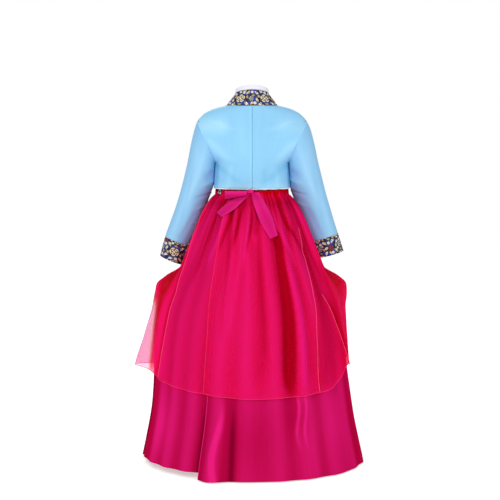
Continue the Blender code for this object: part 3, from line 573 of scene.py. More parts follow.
def fold_depth(fold, height):
    fold, height = np.broadcast_arrays(np.asarray(fold, float), np.asarray(height, float))
    number = np.floor(fold).astype(int) % len(FOLDS)
    valley = np.zeros(fold.shape)
    for i, row in enumerate(FOLDS):
        at = number == i
        if at.any():
            depths = [row[FOLD_COLUMNS.index(name)] for name in FOLD_COLUMNS[:1:-1]]
            valley[at] = smooth(height[at], (0.0, MIDDLE_HEIGHT, WAIST_HEIGHT), depths)
    return valley * np.sin(math.pi * fold) ** 2


def near_side(angle, side, spread):
    return np.exp(-((turned(angle - side * LIFT_ANGLE) / spread) ** 2))


def gathers(degrees, height):
    """Small gathers under the waistband, unevenly spaced."""
    t = degrees / 360.0
    bend = 0.42 * np.sin(2 * math.pi * (5 * t + 0.2)) + 0.30 * np.sin(2 * math.pi * (11 * t + 0.6))
    phase = GATHER_COUNT * t + bend + 2.0 * (WAIST_HEIGHT - height) * np.sin(2 * math.pi * (3 * t + 0.1))
    size = 0.65 + 0.35 * np.sin(2 * math.pi * (17 * t + 0.35))
    depth = table_value(GATHERS, GATHER_COLUMNS, "depth", height) * size
    return -depth * (0.5 - 0.5 * np.cos(2 * math.pi * phase))


def creases(degrees, height):
    """Troughs and ridges at listed places."""
    out = np.zeros(np.broadcast(degrees, height).shape)
    for angle_top, top, angle_low, low, width, size in CREASES:
        share = (height - low) / (top - low)
        middle = angle_low + (angle_top - angle_low) * ease(share, 0.0, 1.0)
        off = turned(degrees - middle) / width
        ends = ease(share, -0.12, 0.22) * ease(share, 1.12, 0.80)
        out = out + size * ends * np.exp(-off * off)
    return out


# Painted light and shade: the sum of a table's places.
def painted_light(table, degrees, height):
    out = np.zeros(np.broadcast(degrees, height).shape)
    for angle, level, angle_spread, height_spread, amount in table:
        off = (turned(degrees - angle) / angle_spread) ** 2 + ((height - level) / height_spread) ** 2
        out = out + amount * np.exp(-off)
    return out


def droplet(degrees, height):
    """The small drape that hangs like a drop under the bow."""
    off = np.hypot(turned(degrees + 3.8) / 3.6, (height - 0.672) / 0.034)
    rim = np.exp(-(((off - 1.0) / 0.28) ** 2)) * ease(height, 0.700, 0.665)
    hollow = np.exp(-((off / 0.7) ** 2))
    return 0.0030 * rim - 0.0022 * hollow


def calm(degrees, height):
    out = np.zeros(np.broadcast(degrees, height).shape)
    for angle, spread, share in CALM:
        out = out + share * np.exp(-((turned(degrees - angle) / spread) ** 2))
    for angle, spread, share in LOW_CALM:
        out = out + share * np.exp(-((turned(degrees - angle) / spread) ** 2)) * ease(height, 0.30, 0.19)
    return np.minimum(out, 0.85)


def line_shade(degrees, height, line, side, amount):
    """The shadow beside a fold's edge."""
    low, top = line[-1][1], line[0][1]
    off = turned(degrees - line_angle(line, height)) * side
    ends = ease(height, low - 0.02, low + 0.03) * ease(height, top + 0.01, top - 0.05)
    return -amount * ends * np.exp(-(((off - 4.0) / 4.0) ** 2)) * (off > 0)


def line_angle(line, height):
    heights = np.array([h for _, h in line])[::-1]
    angles = np.array([a for a, _ in line])[::-1]
    return smooth(height, heights, angles)


def fold_step(degrees, height, line, side, size):
    """A fold's edge: a small ridge at the line that drops away beyond it."""
    low, top = line[-1][1], line[0][1]
    off = turned(degrees - line_angle(line, height)) * side
    ends = ease(height, low - 0.02, low + 0.01) * ease(height, top + 0.01, top - 0.03)
    ridge = np.exp(-((off / 1.6) ** 2)) * np.where(off > 0, np.exp(-((off / 0.5) ** 2)), 1.0)
    return size * ends * ridge


def overlap(degrees):
    start = ease(turned(degrees), OVERLAP_FROM - OVERLAP_EASE, OVERLAP_FROM)
    end = ease(turned(degrees), OVERLAP_TO + OVERLAP_EASE, OVERLAP_TO)
    return start * end


def satin_lift(degrees, height):
    return table_value(LIFTS, LIFT_COLUMNS, "satin_left", height) * near_side(degrees, 1, LIFT_SPREAD)


def overlay_lift(degrees, height):
    left = table_value(LIFTS, LIFT_COLUMNS, "overlay_left", height)
    right = table_value(LIFTS, LIFT_COLUMNS, "overlay_right", height)
    return left * near_side(degrees, 1, LIFT_SPREAD) + right * near_side(degrees, -1, LIFT_SPREAD)


def layer_value(name, height):
    return table_value(LAYERS, LAYER_COLUMNS, name, height)


def under_satin(degrees, height):
    return satin_lift(degrees, height)


def over_satin(degrees, height):
    tube = np.exp(-(((degrees - TUBE_ANGLE) / TUBE_SPREAD) ** 2)) * ease(height, TUBE_TOP, 0.0)
    over = overlap(degrees) * layer_value("over_satin", height)
    return over + TUBE_OUT * tube + satin_lift(degrees, height)


def overlay(degrees, height, name):
    plain = layer_value("plain_overlay", height)
    raised = layer_value(name, height)
    edges = fold_step(degrees, height, FOLD_LINE_LEFT, 1, 0.0040)
    edges = edges + fold_step(degrees, height, FOLD_LINE_RIGHT, -1, 0.0036)
    rise = overlap(degrees) * (raised - plain) + overlay_lift(degrees, height)
    return plain + rise + edges + ORGANZA_WALL / 2


def under_overlay(degrees, height):
    return overlay(degrees, height, "under_overlay")


def over_overlay(degrees, height):
    return overlay(degrees, height, "over_overlay")


def skirt_points(fold, height, layer):
    """Places on the skirt, moved out by the layer's own rule, and how deep each lies."""
    degrees = fold_angle(fold, height)
    angle = np.radians(degrees)
    half_width = table_value(SKIRT_RINGS, RING_COLUMNS, "half_width", height)
    half_depth = table_value(SKIRT_RINGS, RING_COLUMNS, "half_depth", height)
    back = table_value(SKIRT_RINGS, RING_COLUMNS, "shift_back", height)
    left = table_value(SKIRT_RINGS, RING_COLUMNS, "shift_left", height)
    out_x, out_y = half_depth * np.sin(angle), half_width * np.cos(angle)
    length = np.hypot(out_x, out_y)
    shape = -fold_depth(fold, height) * (1 - calm(degrees, height))
    shape = shape + gathers(degrees, height) + creases(degrees, height)
    shape = shape + droplet(degrees, height)
    move = layer(degrees, height) + shape
    x = left + half_width * np.sin(angle) + out_x / length * move
    y = back + half_depth * np.cos(angle) + out_y / length * move
    return np.stack([x, y, height - NECK_HEIGHT], -1), shape, degrees


def overlay_heights(fold, level):
    degrees = turned(fold_angle(fold, OVERLAY_HEM))
    angles = column(OVERLAY_HEM_RISES, HEM_COLUMNS, "angle")
    rise = smooth(degrees, angles, column(OVERLAY_HEM_RISES, HEM_COLUMNS, "rise"))
    hem = OVERLAY_HEM + rise
    return hem + (WAIST_HEIGHT - hem) * level


def surface_line(line, layer, steps=90):
    """A path on the skirt through a table's angles and heights."""
    heights = np.linspace(line[-1][1], line[0][1], steps)
    fine = np.linspace(-8.0, 12.0, 2001)
    path = []
    for height, angle in zip(heights, line_angle(line, heights)):
        fold = np.interp(angle, fold_angle(fine, height), fine)
        path.append(skirt_points(np.array(fold), np.array(height), layer)[0])
    return np.array(path)


def flute(points, height):
    """1 where the raised overlay is one thin layer with nothing behind it."""
    share = (FLUTE_TOP[1] - height) / (FLUTE_TOP[1] - FLUTE_LOW[1])
    edge = FLUTE_TOP[0] + (FLUTE_LOW[0] - FLUTE_TOP[0]) * share
    return ease(points[..., 0], edge - 0.004, edge + 0.008) * ease(height, 0.478, 0.425)


def flute_cover(points, degrees, height):
    """1 where the raised overlay is gathered thick, 0 where it is one thin layer."""
    inside = 1 - flute(points, height)
    left = inside * ease(np.abs(turned(degrees - LIFT_ANGLE)), 42.0, 24.0) * ease(height, 0.22, 0.28)
    right = ease(np.abs(turned(degrees + LIFT_ANGLE)), 46.0, 26.0) * ease(height, 0.22, 0.27)
    top = ease(height, 0.725, 0.745)
    return np.maximum(np.maximum(left, right), top)


def satin_heights(fold, level, short):
    degrees = fold_angle(fold, 0.0)
    rise = short * ease(degrees, SHORT_FROM + SHORT_EASE, SHORT_FROM)
    return level + rise * ease(level, SHORT_TOP, 0.0)


# Building meshes.

looks = {}


def grid_object(name, points, look, wall=0.0, inward=False, tube=False, shade=None, colour=None, dense=None):
    """A sheet from rows and columns of points, with its cloth's own lengths as UVs."""
    rows, across = points.shape[:2]
    span = across if tube else across - 1
    i, j = np.meshgrid(np.arange(rows - 1), np.arange(span), indexing="ij")
    k = (j + 1) % across
    below, above = i * across, (i + 1) * across
    quads = np.stack([below + j, above + j, above + k, below + k], -1).reshape(-1, 4)
    mesh = bpy.data.meshes.new(name)
    mesh.vertices.add(rows * across)
    mesh.vertices.foreach_set("co", points.reshape(-1).astype(np.float32))
    mesh.loops.add(quads.size)
    mesh.loops.foreach_set("vertex_index", quads.reshape(-1).astype(np.int32))
    mesh.polygons.add(len(quads))
    mesh.polygons.foreach_set("loop_start", np.arange(0, quads.size, 4, dtype=np.int32))
    mesh.update(calc_edges=True)
    middle = points[rows // 2]
    if tube:
        middle = np.concatenate([middle, middle[:1]])
    u = np.concatenate([[0.0], np.cumsum(np.linalg.norm(np.diff(middle, axis=0), axis=1))])
    side = points[:, across // 2]
    v = np.concatenate([[0.0], np.cumsum(np.linalg.norm(np.diff(side, axis=0), axis=1))])
    columns = np.stack([j, j, j + 1, j + 1], -1).reshape(-1)
    lines = np.stack([i, i + 1, i + 1, i], -1).reshape(-1)
    uv = mesh.uv_layers.new(name="UVMap")
    uv.data.foreach_set("uv", np.stack([u[columns], v[lines]], -1).reshape(-1).astype(np.float32))
    if shade is not None:
        layer = mesh.attributes.new("shade", "FLOAT", "POINT")
        layer.data.foreach_set("value", np.ascontiguousarray(shade, np.float32).reshape(-1))
    if dense is not None:
        layer = mesh.attributes.new("dense", "FLOAT", "POINT")
        layer.data.foreach_set("value", np.ascontiguousarray(dense, np.float32).reshape(-1))
    if colour is not None:
        layer = mesh.attributes.new("pattern", "FLOAT_COLOR", "POINT")
        rgba = np.concatenate([colour.reshape(-1, 3), np.ones((rows * across, 1))], 1)
        layer.data.foreach_set("color", rgba.reshape(-1).astype(np.float32))
    mesh.materials.append(looks[look])
    mesh.shade_smooth()
    obj = bpy.data.objects.new(name, mesh)
    bpy.context.scene.collection.objects.link(obj)
    if wall:
        shell = obj.modifiers.new("wall", "SOLIDIFY")
        shell.thickness = wall
        shell.offset = -1.0 if inward else 1.0
        shell.use_even_offset = True
    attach(obj, "root")
    return obj


def tube_object(name, path, radius, look, closed=False, sides=8):
    """A thin round cord of cloth or thread along a path, closed at its ends."""
    path = np.asarray(path, float)
    count = len(path)
    if closed:
        along = np.roll(path, -1, 0) - np.roll(path, 1, 0)
    else:
        along = np.gradient(path, axis=0)
    along /= np.linalg.norm(along, axis=1)[:, None]
    up = np.array([0.0, 0.0, 1.0])
    first = np.cross(along, up)
    weak = np.linalg.norm(first, axis=1) < 0.15
    first[weak] = np.cross(along[weak], np.array([1.0, 0.0, 0.0]))
    first /= np.linalg.norm(first, axis=1)[:, None]
    for i in range(1, count):
        if np.dot(first[i], first[i - 1]) < 0:
            first[i] = -first[i]
    second = np.cross(along, first)
    turn = np.linspace(0.0, 2 * math.pi, sides, endpoint=False)
    ring = np.cos(turn)[None, :, None] * first[:, None] + np.sin(turn)[None, :, None] * second[:, None]
    points = path[:, None] + ring * radius
    verts = points.reshape(-1, 3).tolist()
    faces = []
    for i in range(count if closed else count - 1):
        after = (i + 1) % count
        for j in range(sides):
            k = (j + 1) % sides
            faces.append((i * sides + j, i * sides + k, after * sides + k, after * sides + j))
    if not closed:
        faces.append(tuple(range(sides - 1, -1, -1)))
        faces.append(tuple((count - 1) * sides + j for j in range(sides)))
    mesh = bpy.data.meshes.new(name)
    mesh.from_pydata(verts, [], faces)
    mesh.materials.append(looks[look])
    mesh.shade_smooth()
    obj = bpy.data.objects.new(name, mesh)
    bpy.context.scene.collection.objects.link(obj)
    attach(obj, "root")
    return obj


# Materials.


def start_material(name, colour, roughness):
    material = bpy.data.materials.new(name)
    looks[name] = material
    material.use_nodes = True
    shader = material.node_tree.nodes["Principled BSDF"]
    shader.inputs["Base Color"].default_value = (*colour, 1.0)
    shader.inputs["Roughness"].default_value = roughness
    return material.node_tree.nodes, material.node_tree.links, shader


def add_weave(nodes, links, shader, scale_across, scale_along, strength, distance):
    """Fine threads both ways, as a bump."""
    place = nodes.new("ShaderNodeTexCoord")
    stretch = nodes.new("ShaderNodeMapping")
    stretch.inputs["Scale"].default_value = (scale_across, scale_along, 1.0)
    links.new(place.outputs["UV"], stretch.inputs["Vector"])
    threads = nodes.new("ShaderNodeTexNoise")
    threads.inputs["Scale"].default_value = 1.0
    threads.inputs["Detail"].default_value = 3.0
    threads.inputs["Roughness"].default_value = 0.6
    links.new(stretch.outputs["Vector"], threads.inputs["Vector"])
    bump = nodes.new("ShaderNodeBump")
    bump.inputs["Strength"].default_value = strength
    bump.inputs["Distance"].default_value = distance
    links.new(threads.outputs["Fac"], bump.inputs["Height"])
    links.new(bump.outputs["Normal"], shader.inputs["Normal"])
    return threads


def shaded_cloth(name, tones, roughness, specular, metal, weave, cloud=0.12, pale=None):
    """Cloth with painted shade and highlight: its colour follows the shade attribute, from the dark of its
    valleys to the light on its crests.
    """
    deep, middle, bright = tones
    nodes, links, shader = start_material(name, middle, roughness)
    shade = nodes.new("ShaderNodeAttribute")
    shade.attribute_name = "shade"
    place = nodes.new("ShaderNodeTexCoord")
    streak = nodes.new("ShaderNodeMapping")
    streak.inputs["Scale"].default_value = (110.0, 5.0, 1.0)
    links.new(place.outputs["UV"], streak.inputs["Vector"])
    clouds = nodes.new("ShaderNodeTexNoise")
    clouds.inputs["Scale"].default_value = 1.0
    clouds.inputs["Detail"].default_value = 4.0
    links.new(streak.outputs["Vector"], clouds.inputs["Vector"])
    spread = nodes.new("ShaderNodeMath")
    spread.operation = "MULTIPLY_ADD"
    spread.inputs[1].default_value = cloud
    links.new(clouds.outputs["Fac"], spread.inputs[0])
    links.new(shade.outputs["Fac"], spread.inputs[2])
    ramp = nodes.new("ShaderNodeValToRGB")
    ramp.color_ramp.elements[0].position = 0.0
    ramp.color_ramp.elements[0].color = (*deep, 1.0)
    ramp.color_ramp.elements[1].position = 1.0
    ramp.color_ramp.elements[1].color = (*bright, 1.0)
    half = ramp.color_ramp.elements.new(0.5)
    half.color = (*middle, 1.0)
    # A paler stop at the top of the ramp: painted light shining through a thin layer.
    if pale:
        crest = ramp.color_ramp.elements.new(0.88)
        crest.color = (*bright, 1.0)
        ramp.color_ramp.elements[3].color = (*pale, 1.0)
    links.new(spread.outputs["Value"], ramp.inputs["Fac"])
    links.new(ramp.outputs["Color"], shader.inputs["Base Color"])
    shader.inputs["Metallic"].default_value = metal
    shader.inputs["Specular IOR Level"].default_value = specular
    shader.inputs["Specular Tint"].default_value = (*bright, 1.0)
    add_weave(nodes, links, shader, *weave)
    return nodes, links, shader


# Each cloth's colours for the shade attribute: painted shade, middle, painted highlight.
SKY = ((0.11, 0.40, 0.62), (0.262, 0.565, 0.820), (0.44, 0.76, 0.94))
# The sleeves' copy of the sky cloth: a little darker, its shade lavender with the skirt's pink painted in as
# a reflection.
SKY_SLEEVE = ((0.27, 0.33, 0.70), (0.255, 0.530, 0.790), (0.42, 0.71, 0.92))
SATIN = ((0.21, 0.000, 0.020), (0.435, 0.0020, 0.054), (0.73, 0.011, 0.180))
ORGANZA = ((0.50, 0.000, 0.004), (0.87, 0.005, 0.100), (0.93, 0.010, 0.180))
# Pale pink where the raised overlay is one thin layer: painted light shining through it.
FLUTE = (0.96, 0.012, 0.370)
RIBBON = ((0.40, 0.002, 0.070), (0.66, 0.006, 0.150), (0.88, 0.040, 0.330))
ORGANZA_COVER = 0.50
ORGANZA_DENSE = 0.94


def make_materials():
    shaded_cloth("sky_cloth", SKY, 0.55, 0.06, 0.0, (900.0, 60.0, 0.25, 0.0004), 0.10)
    shaded_cloth("sky_sleeve", SKY_SLEEVE, 0.55, 0.06, 0.0, (900.0, 60.0, 0.25, 0.0004), 0.10)
    shaded_cloth("satin_cloth", SATIN, 0.40, 0.0, 0.18, (700.0, 70.0, 0.15, 0.0003), 0.12)
    weave = (900.0, 900.0, 0.12, 0.0002)
    nodes, links, shader = shaded_cloth("organza_cloth", ORGANZA, 0.50, 0.06, 0.10, weave, 0.10, FLUTE)
    shader.inputs["Specular IOR Level"].default_value = 0.0
    dense = nodes.new("ShaderNodeAttribute")
    dense.attribute_name = "dense"
    cloak = nodes.new("ShaderNodeMath")
    cloak.operation = "MULTIPLY_ADD"
    cloak.inputs[1].default_value = ORGANZA_DENSE - ORGANZA_COVER
    cloak.inputs[2].default_value = ORGANZA_COVER
    links.new(dense.outputs["Fac"], cloak.inputs[0])
    links.new(cloak.outputs["Value"], shader.inputs["Alpha"])
    shaded_cloth("ribbon_cloth", RIBBON, 0.38, 0.12, 0.30, (120.0, 1200.0, 0.15, 0.0003), 0.12)
    nodes, links, shader = start_material("brocade_cloth", NAVY, 0.5)
    pattern = nodes.new("ShaderNodeAttribute")
    pattern.attribute_name = "pattern"
    links.new(pattern.outputs["Color"], shader.inputs["Base Color"])
    shader.inputs["Specular IOR Level"].default_value = 0.25
    add_weave(nodes, links, shader, 1400.0, 1400.0, 0.35, 0.0004)
    for name, colour in (
        ("cotton_cloth", (0.76, 0.74, 0.84)),
        ("cotton_fold_shade", (0.42, 0.38, 0.62)),
        ("hem_white", (0.74, 0.88, 0.96)),
        ("organza_hem", (0.86, 0.022, 0.125)),
        ("organza_fold_highlight", (0.92, 0.060, 0.190)),
        ("satin_edge_highlight", (0.74, 0.010, 0.190)),
        ("sky_seam_highlight", (0.42, 0.74, 0.94)),
        ("sky_shadow", (0.10, 0.34, 0.52)),
        ("cream_piping", (0.72, 0.66, 0.55)),
        ("navy_piping", (0.020, 0.015, 0.030)),
    ):
        nodes, links, shader = start_material(name, colour, 0.65)
        shader.inputs["Specular IOR Level"].default_value = 0.15
        add_weave(nodes, links, shader, 1500.0, 1500.0, 0.2, 0.0003)
    nodes, links, shader = start_material("floor_white", (0.93, 0.93, 0.93), 0.9)
    shader.inputs["Specular IOR Level"].default_value = 0.0
    shader.inputs["Emission Color"].default_value = (1.0, 1.0, 1.0, 1.0)
    shader.inputs["Emission Strength"].default_value = 0.49


def cover(obj, slot, *nodes):
    if nodes:
        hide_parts(*nodes)
    return obj


# The skirt.


def skirt_shade(shape, degrees, height, table):
    """Painted shade and highlight: 0 in a deep valley and 1 on a crest, darker in the gathers and creases,
    with painted shadow under the jacket's hem and the table's painted light and shade.
    """
    folds = np.clip(shape / 0.012 + 0.40, -0.5, 0.5) * 0.55
    folds = folds - 0.30 * ease(height, 0.700, 0.748)
    crease_shade = 62.0 + 38.0 * ease(height, 0.56, 0.66)
    small = gathers(degrees, height) / 0.0025 * 0.34 + creases(degrees, height) * crease_shade
    return 0.47 + folds + small + painted_light(table, degrees, height)


def panel_places(start, end, per_fold):
    return np.linspace(start, end, int((end - start) * per_fold) + 1)


def add_ruffle(points, shade, degrees, over_band, steps=5):
    """The gathered top edge, drawn up under the jacket's hem."""
    angle, spread = RUFFLE_PART
    full = 1 - np.exp(-((turned(degrees[-1] - angle) / spread) ** 4))
    rows, tones = [points], [shade]
    for share in np.linspace(0.0, 1.0, steps + 1)[1:]:
        row = points[-1].copy()
        row[:, 0] *= 1 - 0.016 * share * share
        row[:, 1] = 0.002 + (row[:, 1] - 0.002) * (1 - 0.016 * share * share)
        x_share = row[:, 0] / (BAND_HALF[0] + over_band)
        y_share = (row[:, 1] - 0.002) / (BAND_HALF[1] + over_band)
        push = 1 + (np.maximum(1.0, 1 / np.hypot(x_share, y_share)) - 1) * full
        row[:, 0] *= push
        row[:, 1] = 0.002 + (row[:, 1] - 0.002) * push
        row[:, 2] += RUFFLE_HEIGHT * share * full
        rows.append(row[None])
        # Painted shadow under the jacket's hem: the gathered top darker towards its edge.
        tones.append((shade[-1] - 0.34 * share)[None])
    return np.concatenate(rows), np.concatenate(tones)


def satin_panel(name, start, end, layer, short=0.0):
    places = panel_places(start, end, 24)
    levels = np.linspace(0.0, WAIST_HEIGHT, 121)
    fold, level = np.meshgrid(places, levels)
    height = satin_heights(fold, level, short)
    points, shape, degrees = skirt_points(fold, height, layer)
    shade = skirt_shade(shape, degrees, height, SATIN_PAINTED_LIGHT)
    edge = turned(degrees - fold_angle(OVER_EDGE, height))
    low = ease(height, 0.24, 0.10)
    if layer is over_satin:
        # Painted highlight along the tube fold and painted shade in the groove beside it.
        lean = degrees - 1.6 * np.sin(26.0 * height)
        shade = shade + low * 0.60 * np.exp(-(((lean - 18.6) / 1.4) ** 2))
        shade = shade - low * 0.45 * np.exp(-(((degrees - 10.8) / 1.6) ** 2))
        # Two narrow painted highlight streaks low on the wearer's right of the back.
        drawn = ease(height, 0.06, 0.14) * ease(height, 0.24, 0.20)
        lean = degrees + 1.2 * np.sin(40.0 * height)
        shade = shade + drawn * 0.40 * np.exp(-(((lean + 25.0) / 0.9) ** 2))
        shade = shade + drawn * 0.34 * np.exp(-(((lean + 29.5) / 0.8) ** 2))
    else:
        # Painted shadow of the over panel's free edge on the panel beneath, low down.
        shade = shade - low * 0.45 * np.exp(-(((edge - 1.0) / 2.2) ** 2))
    points, shade = add_ruffle(points, shade, degrees, SATIN_OVER_BAND)
    obj = grid_object(name + "_cloth", points, "satin_cloth", shade=shade)
    return cover(obj, "crimson_satin", name), points


def overlay_panel(name, start, end, layer):
    places = panel_places(start, end, 24)
    levels = np.linspace(0.0, 1.0, 121)
    fold, level = np.meshgrid(places, levels)
    height = overlay_heights(fold, level)
    if layer is over_overlay:
        fold = fold + EDGE_LEAN * ease(height, 0.36, 0.64) * ease(fold, 0.0, end)
    points, shape, degrees = skirt_points(fold, height, layer)
    shade = skirt_shade(shape, degrees, height, OVERLAY_PAINTED_LIGHT)
    # Painted shadow beside the fold lines, and on the near side of the back one painted light.
    shade = shade + line_shade(degrees, height, FOLD_LINE_BACK, -1, 0.36)
    shade = shade - line_shade(degrees, height, FOLD_LINE_BACK, 1, 0.24)
    shade = shade + line_shade(degrees, height, FOLD_LINE_LEFT, 1, 0.40)
    shade = shade + line_shade(degrees, height, FOLD_LINE_RIGHT, -1, 0.30)
    dense = flute_cover(points, degrees, height)
    thin = flute(points, height)
    # Where the overlay is one thin layer it takes the pale top of the ramp: painted light shining through it.
    shade = np.clip(shade, 0.0, 0.86) * (1 - thin) + 1.0 * thin ** 4
    points, shade = add_ruffle(points, shade, degrees, OVERLAY_OVER_BAND)
    dense = np.concatenate([dense, np.ones((len(points) - len(dense), dense.shape[1]))])
    obj = grid_object(name + "_cloth", points, "organza_cloth", shade=shade, dense=dense)
    cover(obj, "crimson_organza", name)
    hem = tube_object(name + "_hem", points[0][::2], 0.0007, "organza_hem")
    cover(hem, "crimson_organza")
    return obj, points, [hem]


def build_skirt():
    turn = len(FOLDS)
    satin_panel("satin_front", SIDE_SEAM_LEFT, SIDE_SEAM_RIGHT, under_satin, SHORT_BY)
    satin_panel("satin_back_left", SATIN_UNDER_EDGE, SIDE_SEAM_LEFT, under_satin, SHORT_BY)
    _, satin = satin_panel("satin_back_right", SIDE_SEAM_RIGHT - turn, OVER_EDGE, over_satin)
    # A brighter cord along the over panel's free edge: painted highlight on the edge.
    cover(tube_object("satin_edge", satin[:101:2, -1], 0.0010, "satin_edge_highlight"), "crimson_satin")
    overlay_panel("organza_front", SIDE_SEAM_LEFT, SIDE_SEAM_RIGHT, under_overlay)
    _, under, _ = overlay_panel("organza_back_left", OVERLAY_UNDER_EDGE, SIDE_SEAM_LEFT, under_overlay)
    _, over, _ = overlay_panel("organza_back_right", SIDE_SEAM_RIGHT - turn, OVERLAY_OVER_EDGE, over_overlay)
    cover(tube_object("organza_edge_over", over[:121:2, -1], 0.0006, "organza_hem"), "crimson_organza")
    cover(tube_object("organza_edge_under", under[:121:2, 0], 0.0006, "organza_hem"), "crimson_organza")
    # Paler cords along the overlay's fold edges: painted highlight on each fold's ridge.
    for name, line, layer in (
        ("fold_left", FOLD_LINE_LEFT, under_overlay),
        ("fold_right", FOLD_LINE_RIGHT, over_overlay),
        ("fold_back", FOLD_LINE_BACK, over_overlay),
        ("fold_outer", FOLD_LINE_OUTER, over_overlay),
    ):
        path = surface_line(line, layer)
        cover(tube_object("organza_" + name, path, 0.0008, "organza_fold_highlight"), "crimson_organza")
    rows = []
    for share in np.linspace(0.0, 1.0, 17):
        scale = 1.0 + (BAND_TOP_SCALE - 1.0) * share
        turns = np.linspace(0.0, 2 * math.pi, 360, endpoint=False)
        x = BAND_HALF[0] * scale * np.sin(turns)
        y = 0.002 + BAND_HALF[1] * scale * np.cos(turns)
        z = np.full(turns.shape, BAND_BOTTOM + BAND_HEIGHT * share - NECK_HEIGHT)
        rows.append(np.stack([x, y, z], -1))
    points = np.array(rows)
    colour = brocade(points, True, (0.0, 0.0))
    band = grid_object("waistband_cloth", points, "brocade_cloth", BAND_WALL, tube=True, colour=colour)
    cover(band, "brocade", "waistband")


# The jacket.


def armhole_x(up):
    bottom = table_value(BODY, BODY_COLUMNS, "half_width", ARMPIT_HEIGHT)
    top = table_value(BODY, BODY_COLUMNS, "half_width", SHOULDER_HEIGHT)
    return bottom + (top - bottom) * up


def seam_square(up):
    """How the armhole's depth, squared, spreads softly past its top and bottom."""
    share = np.linspace(-0.6, 1.6, 661)
    exact = np.clip(4 * share * (1 - share), 0.0, None)
    reach = np.linspace(-0.24, 0.24, 145)
    weight = np.exp(-((reach / 0.085) ** 2))
    soft = np.convolve(exact, weight / weight.sum(), "same")
    return float(np.interp(up, share, soft)) * ARMHOLE_HALF_DEPTH**2


def body_side(height):
    """Where the side is at a height, and the depth of its edge: nothing where it is sewn shut."""
    up = (height - ARMPIT_HEIGHT) / (SHOULDER_HEIGHT - ARMPIT_HEIGHT)
    if not 0.0 < up < 1.0:
        return float(table_value(BODY, BODY_COLUMNS, "half_width", height)), 0.0
    return float(armhole_x(up)), ARMHOLE_HALF_DEPTH * math.sqrt(4 * up * (1 - up))


def soft_side(height):
    """The side's place with its corners at the armpit and shoulder eased."""
    reach = np.linspace(-0.020, 0.020, 9)
    weight = np.exp(-((reach / 0.011) ** 2))
    sides = [body_side(min(max(height + step, JACKET_HEM), JACKET_TOP))[0] for step in reach]
    exact = body_side(height)[0]
    near = float(ease(height, 0.974, 0.962) * ease(height, 0.790, 0.805))
    return exact + near * (float(np.sum(np.array(sides) * weight) / weight.sum()) - exact)


def body_ring(height, depth_name):
    depth = float(table_value(BODY, BODY_COLUMNS, depth_name, height))
    side = soft_side(height)
    up = (height - ARMPIT_HEIGHT) / (SHOULDER_HEIGHT - ARMPIT_HEIGHT)
    square = min(seam_square(up), 0.85 * depth * depth)
    end = math.acos(math.sqrt(square) / depth)
    return side / math.sin(end), depth, end


def seam_ease(height, depth, end, share):
    """Brings the surface back to the side seam or the armhole at its outer edge."""
    _, exact = body_side(height)
    return (exact - depth * math.cos(end)) * ease(share, 0.84, 1.0) ** 2


def side_ease(height, share):
    """Brings the surface's outer edge back out to the exact side."""
    return (body_side(height)[0] - soft_side(height)) * ease(share, 0.72, 1.0)


def jacket_creases(x, height, table):
    out = np.zeros(np.shape(x))
    for across_top, top, across_low, low, width, size in table:
        share = (height - low) / (top - low)
        middle = across_low + (across_top - across_low) * np.clip(share, -0.3, 1.3)
        slope = math.hypot(1.0, (across_top - across_low) / (top - low))
        ends = ease(share, -0.30, 0.20) * ease(share, 1.30, 0.80)
        out = out + size * ends * np.exp(-(((x - middle) / slope / width) ** 2))
    return out


def body_levels():
    turn = np.linspace(-math.pi, 0.0, 49)
    between = ARMPIT_HEIGHT + (SHOULDER_HEIGHT - ARMPIT_HEIGHT) * (1 + np.cos(turn)) / 2
    lower = np.linspace(HEM_SHOWN, ARMPIT_HEIGHT, 24)[:-1]
    upper = np.linspace(SHOULDER_HEIGHT, JACKET_TOP, 20)[1:]
    return np.concatenate([lower, between, upper])


def front_lift(x, height):
    return OVER_FRONT_LIFT * ease(x, 0.062, 0.040) * ease(height, 0.962, 0.935)


def front_surface(x, height, over):
    width, depth, _ = body_ring(float(height), "front_depth")
    y = depth * np.sqrt(np.maximum(0.0, 1 - (np.asarray(x) / width) ** 2))
    return -y - (front_lift(x, height) if over else 0.0)


def back_panel(name, side):
    rows, tones = [], []
    for height in body_levels():
        width, depth, end = body_ring(float(height), "back_depth")
        share = np.linspace(0.0, 1.0, 71)
        x = width * np.sin(end * share) + side_ease(float(height), share)
        out = jacket_creases(side * x, height, BACK_CREASES) * ease(share, 1.0, 0.93)
        seam = np.exp(-((x / 0.0045) ** 2)) * (0.0007 if side > 0 else 0.0)
        eased = seam_ease(float(height), depth, end, share)
        y = depth * np.cos(end * share) + SEAM_GAP / 2 + eased + out + seam
        rows.append(np.stack([side * x, y, np.full(x.shape, height - NECK_HEIGHT)], -1)[::side])
        # Painted highlight on the outer top of the shoulder, full on the wearer's left and half on the right,
        # and painted light towards the hem.
        painted_highlight = 0.30 * math.exp(-(((height - 0.938) / 0.022) ** 2)) * ease(x, 0.05, 0.09)
        painted_highlight = painted_highlight * (1 if side > 0 else 0.5)
        painted_highlight = painted_highlight + 0.16 * float(ease(height, 0.790, 0.768))
        # Painted shade in the creases and painted highlight on the raised centre back seam.
        tones.append((0.46 + 90.0 * out + 240.0 * seam * (side > 0) + painted_highlight)[::side])
    obj = grid_object(name + "_cloth", np.array(rows), "sky_cloth", JACKET_WALL, shade=np.array(tones))
    return cover(obj, "sky_satin", name)


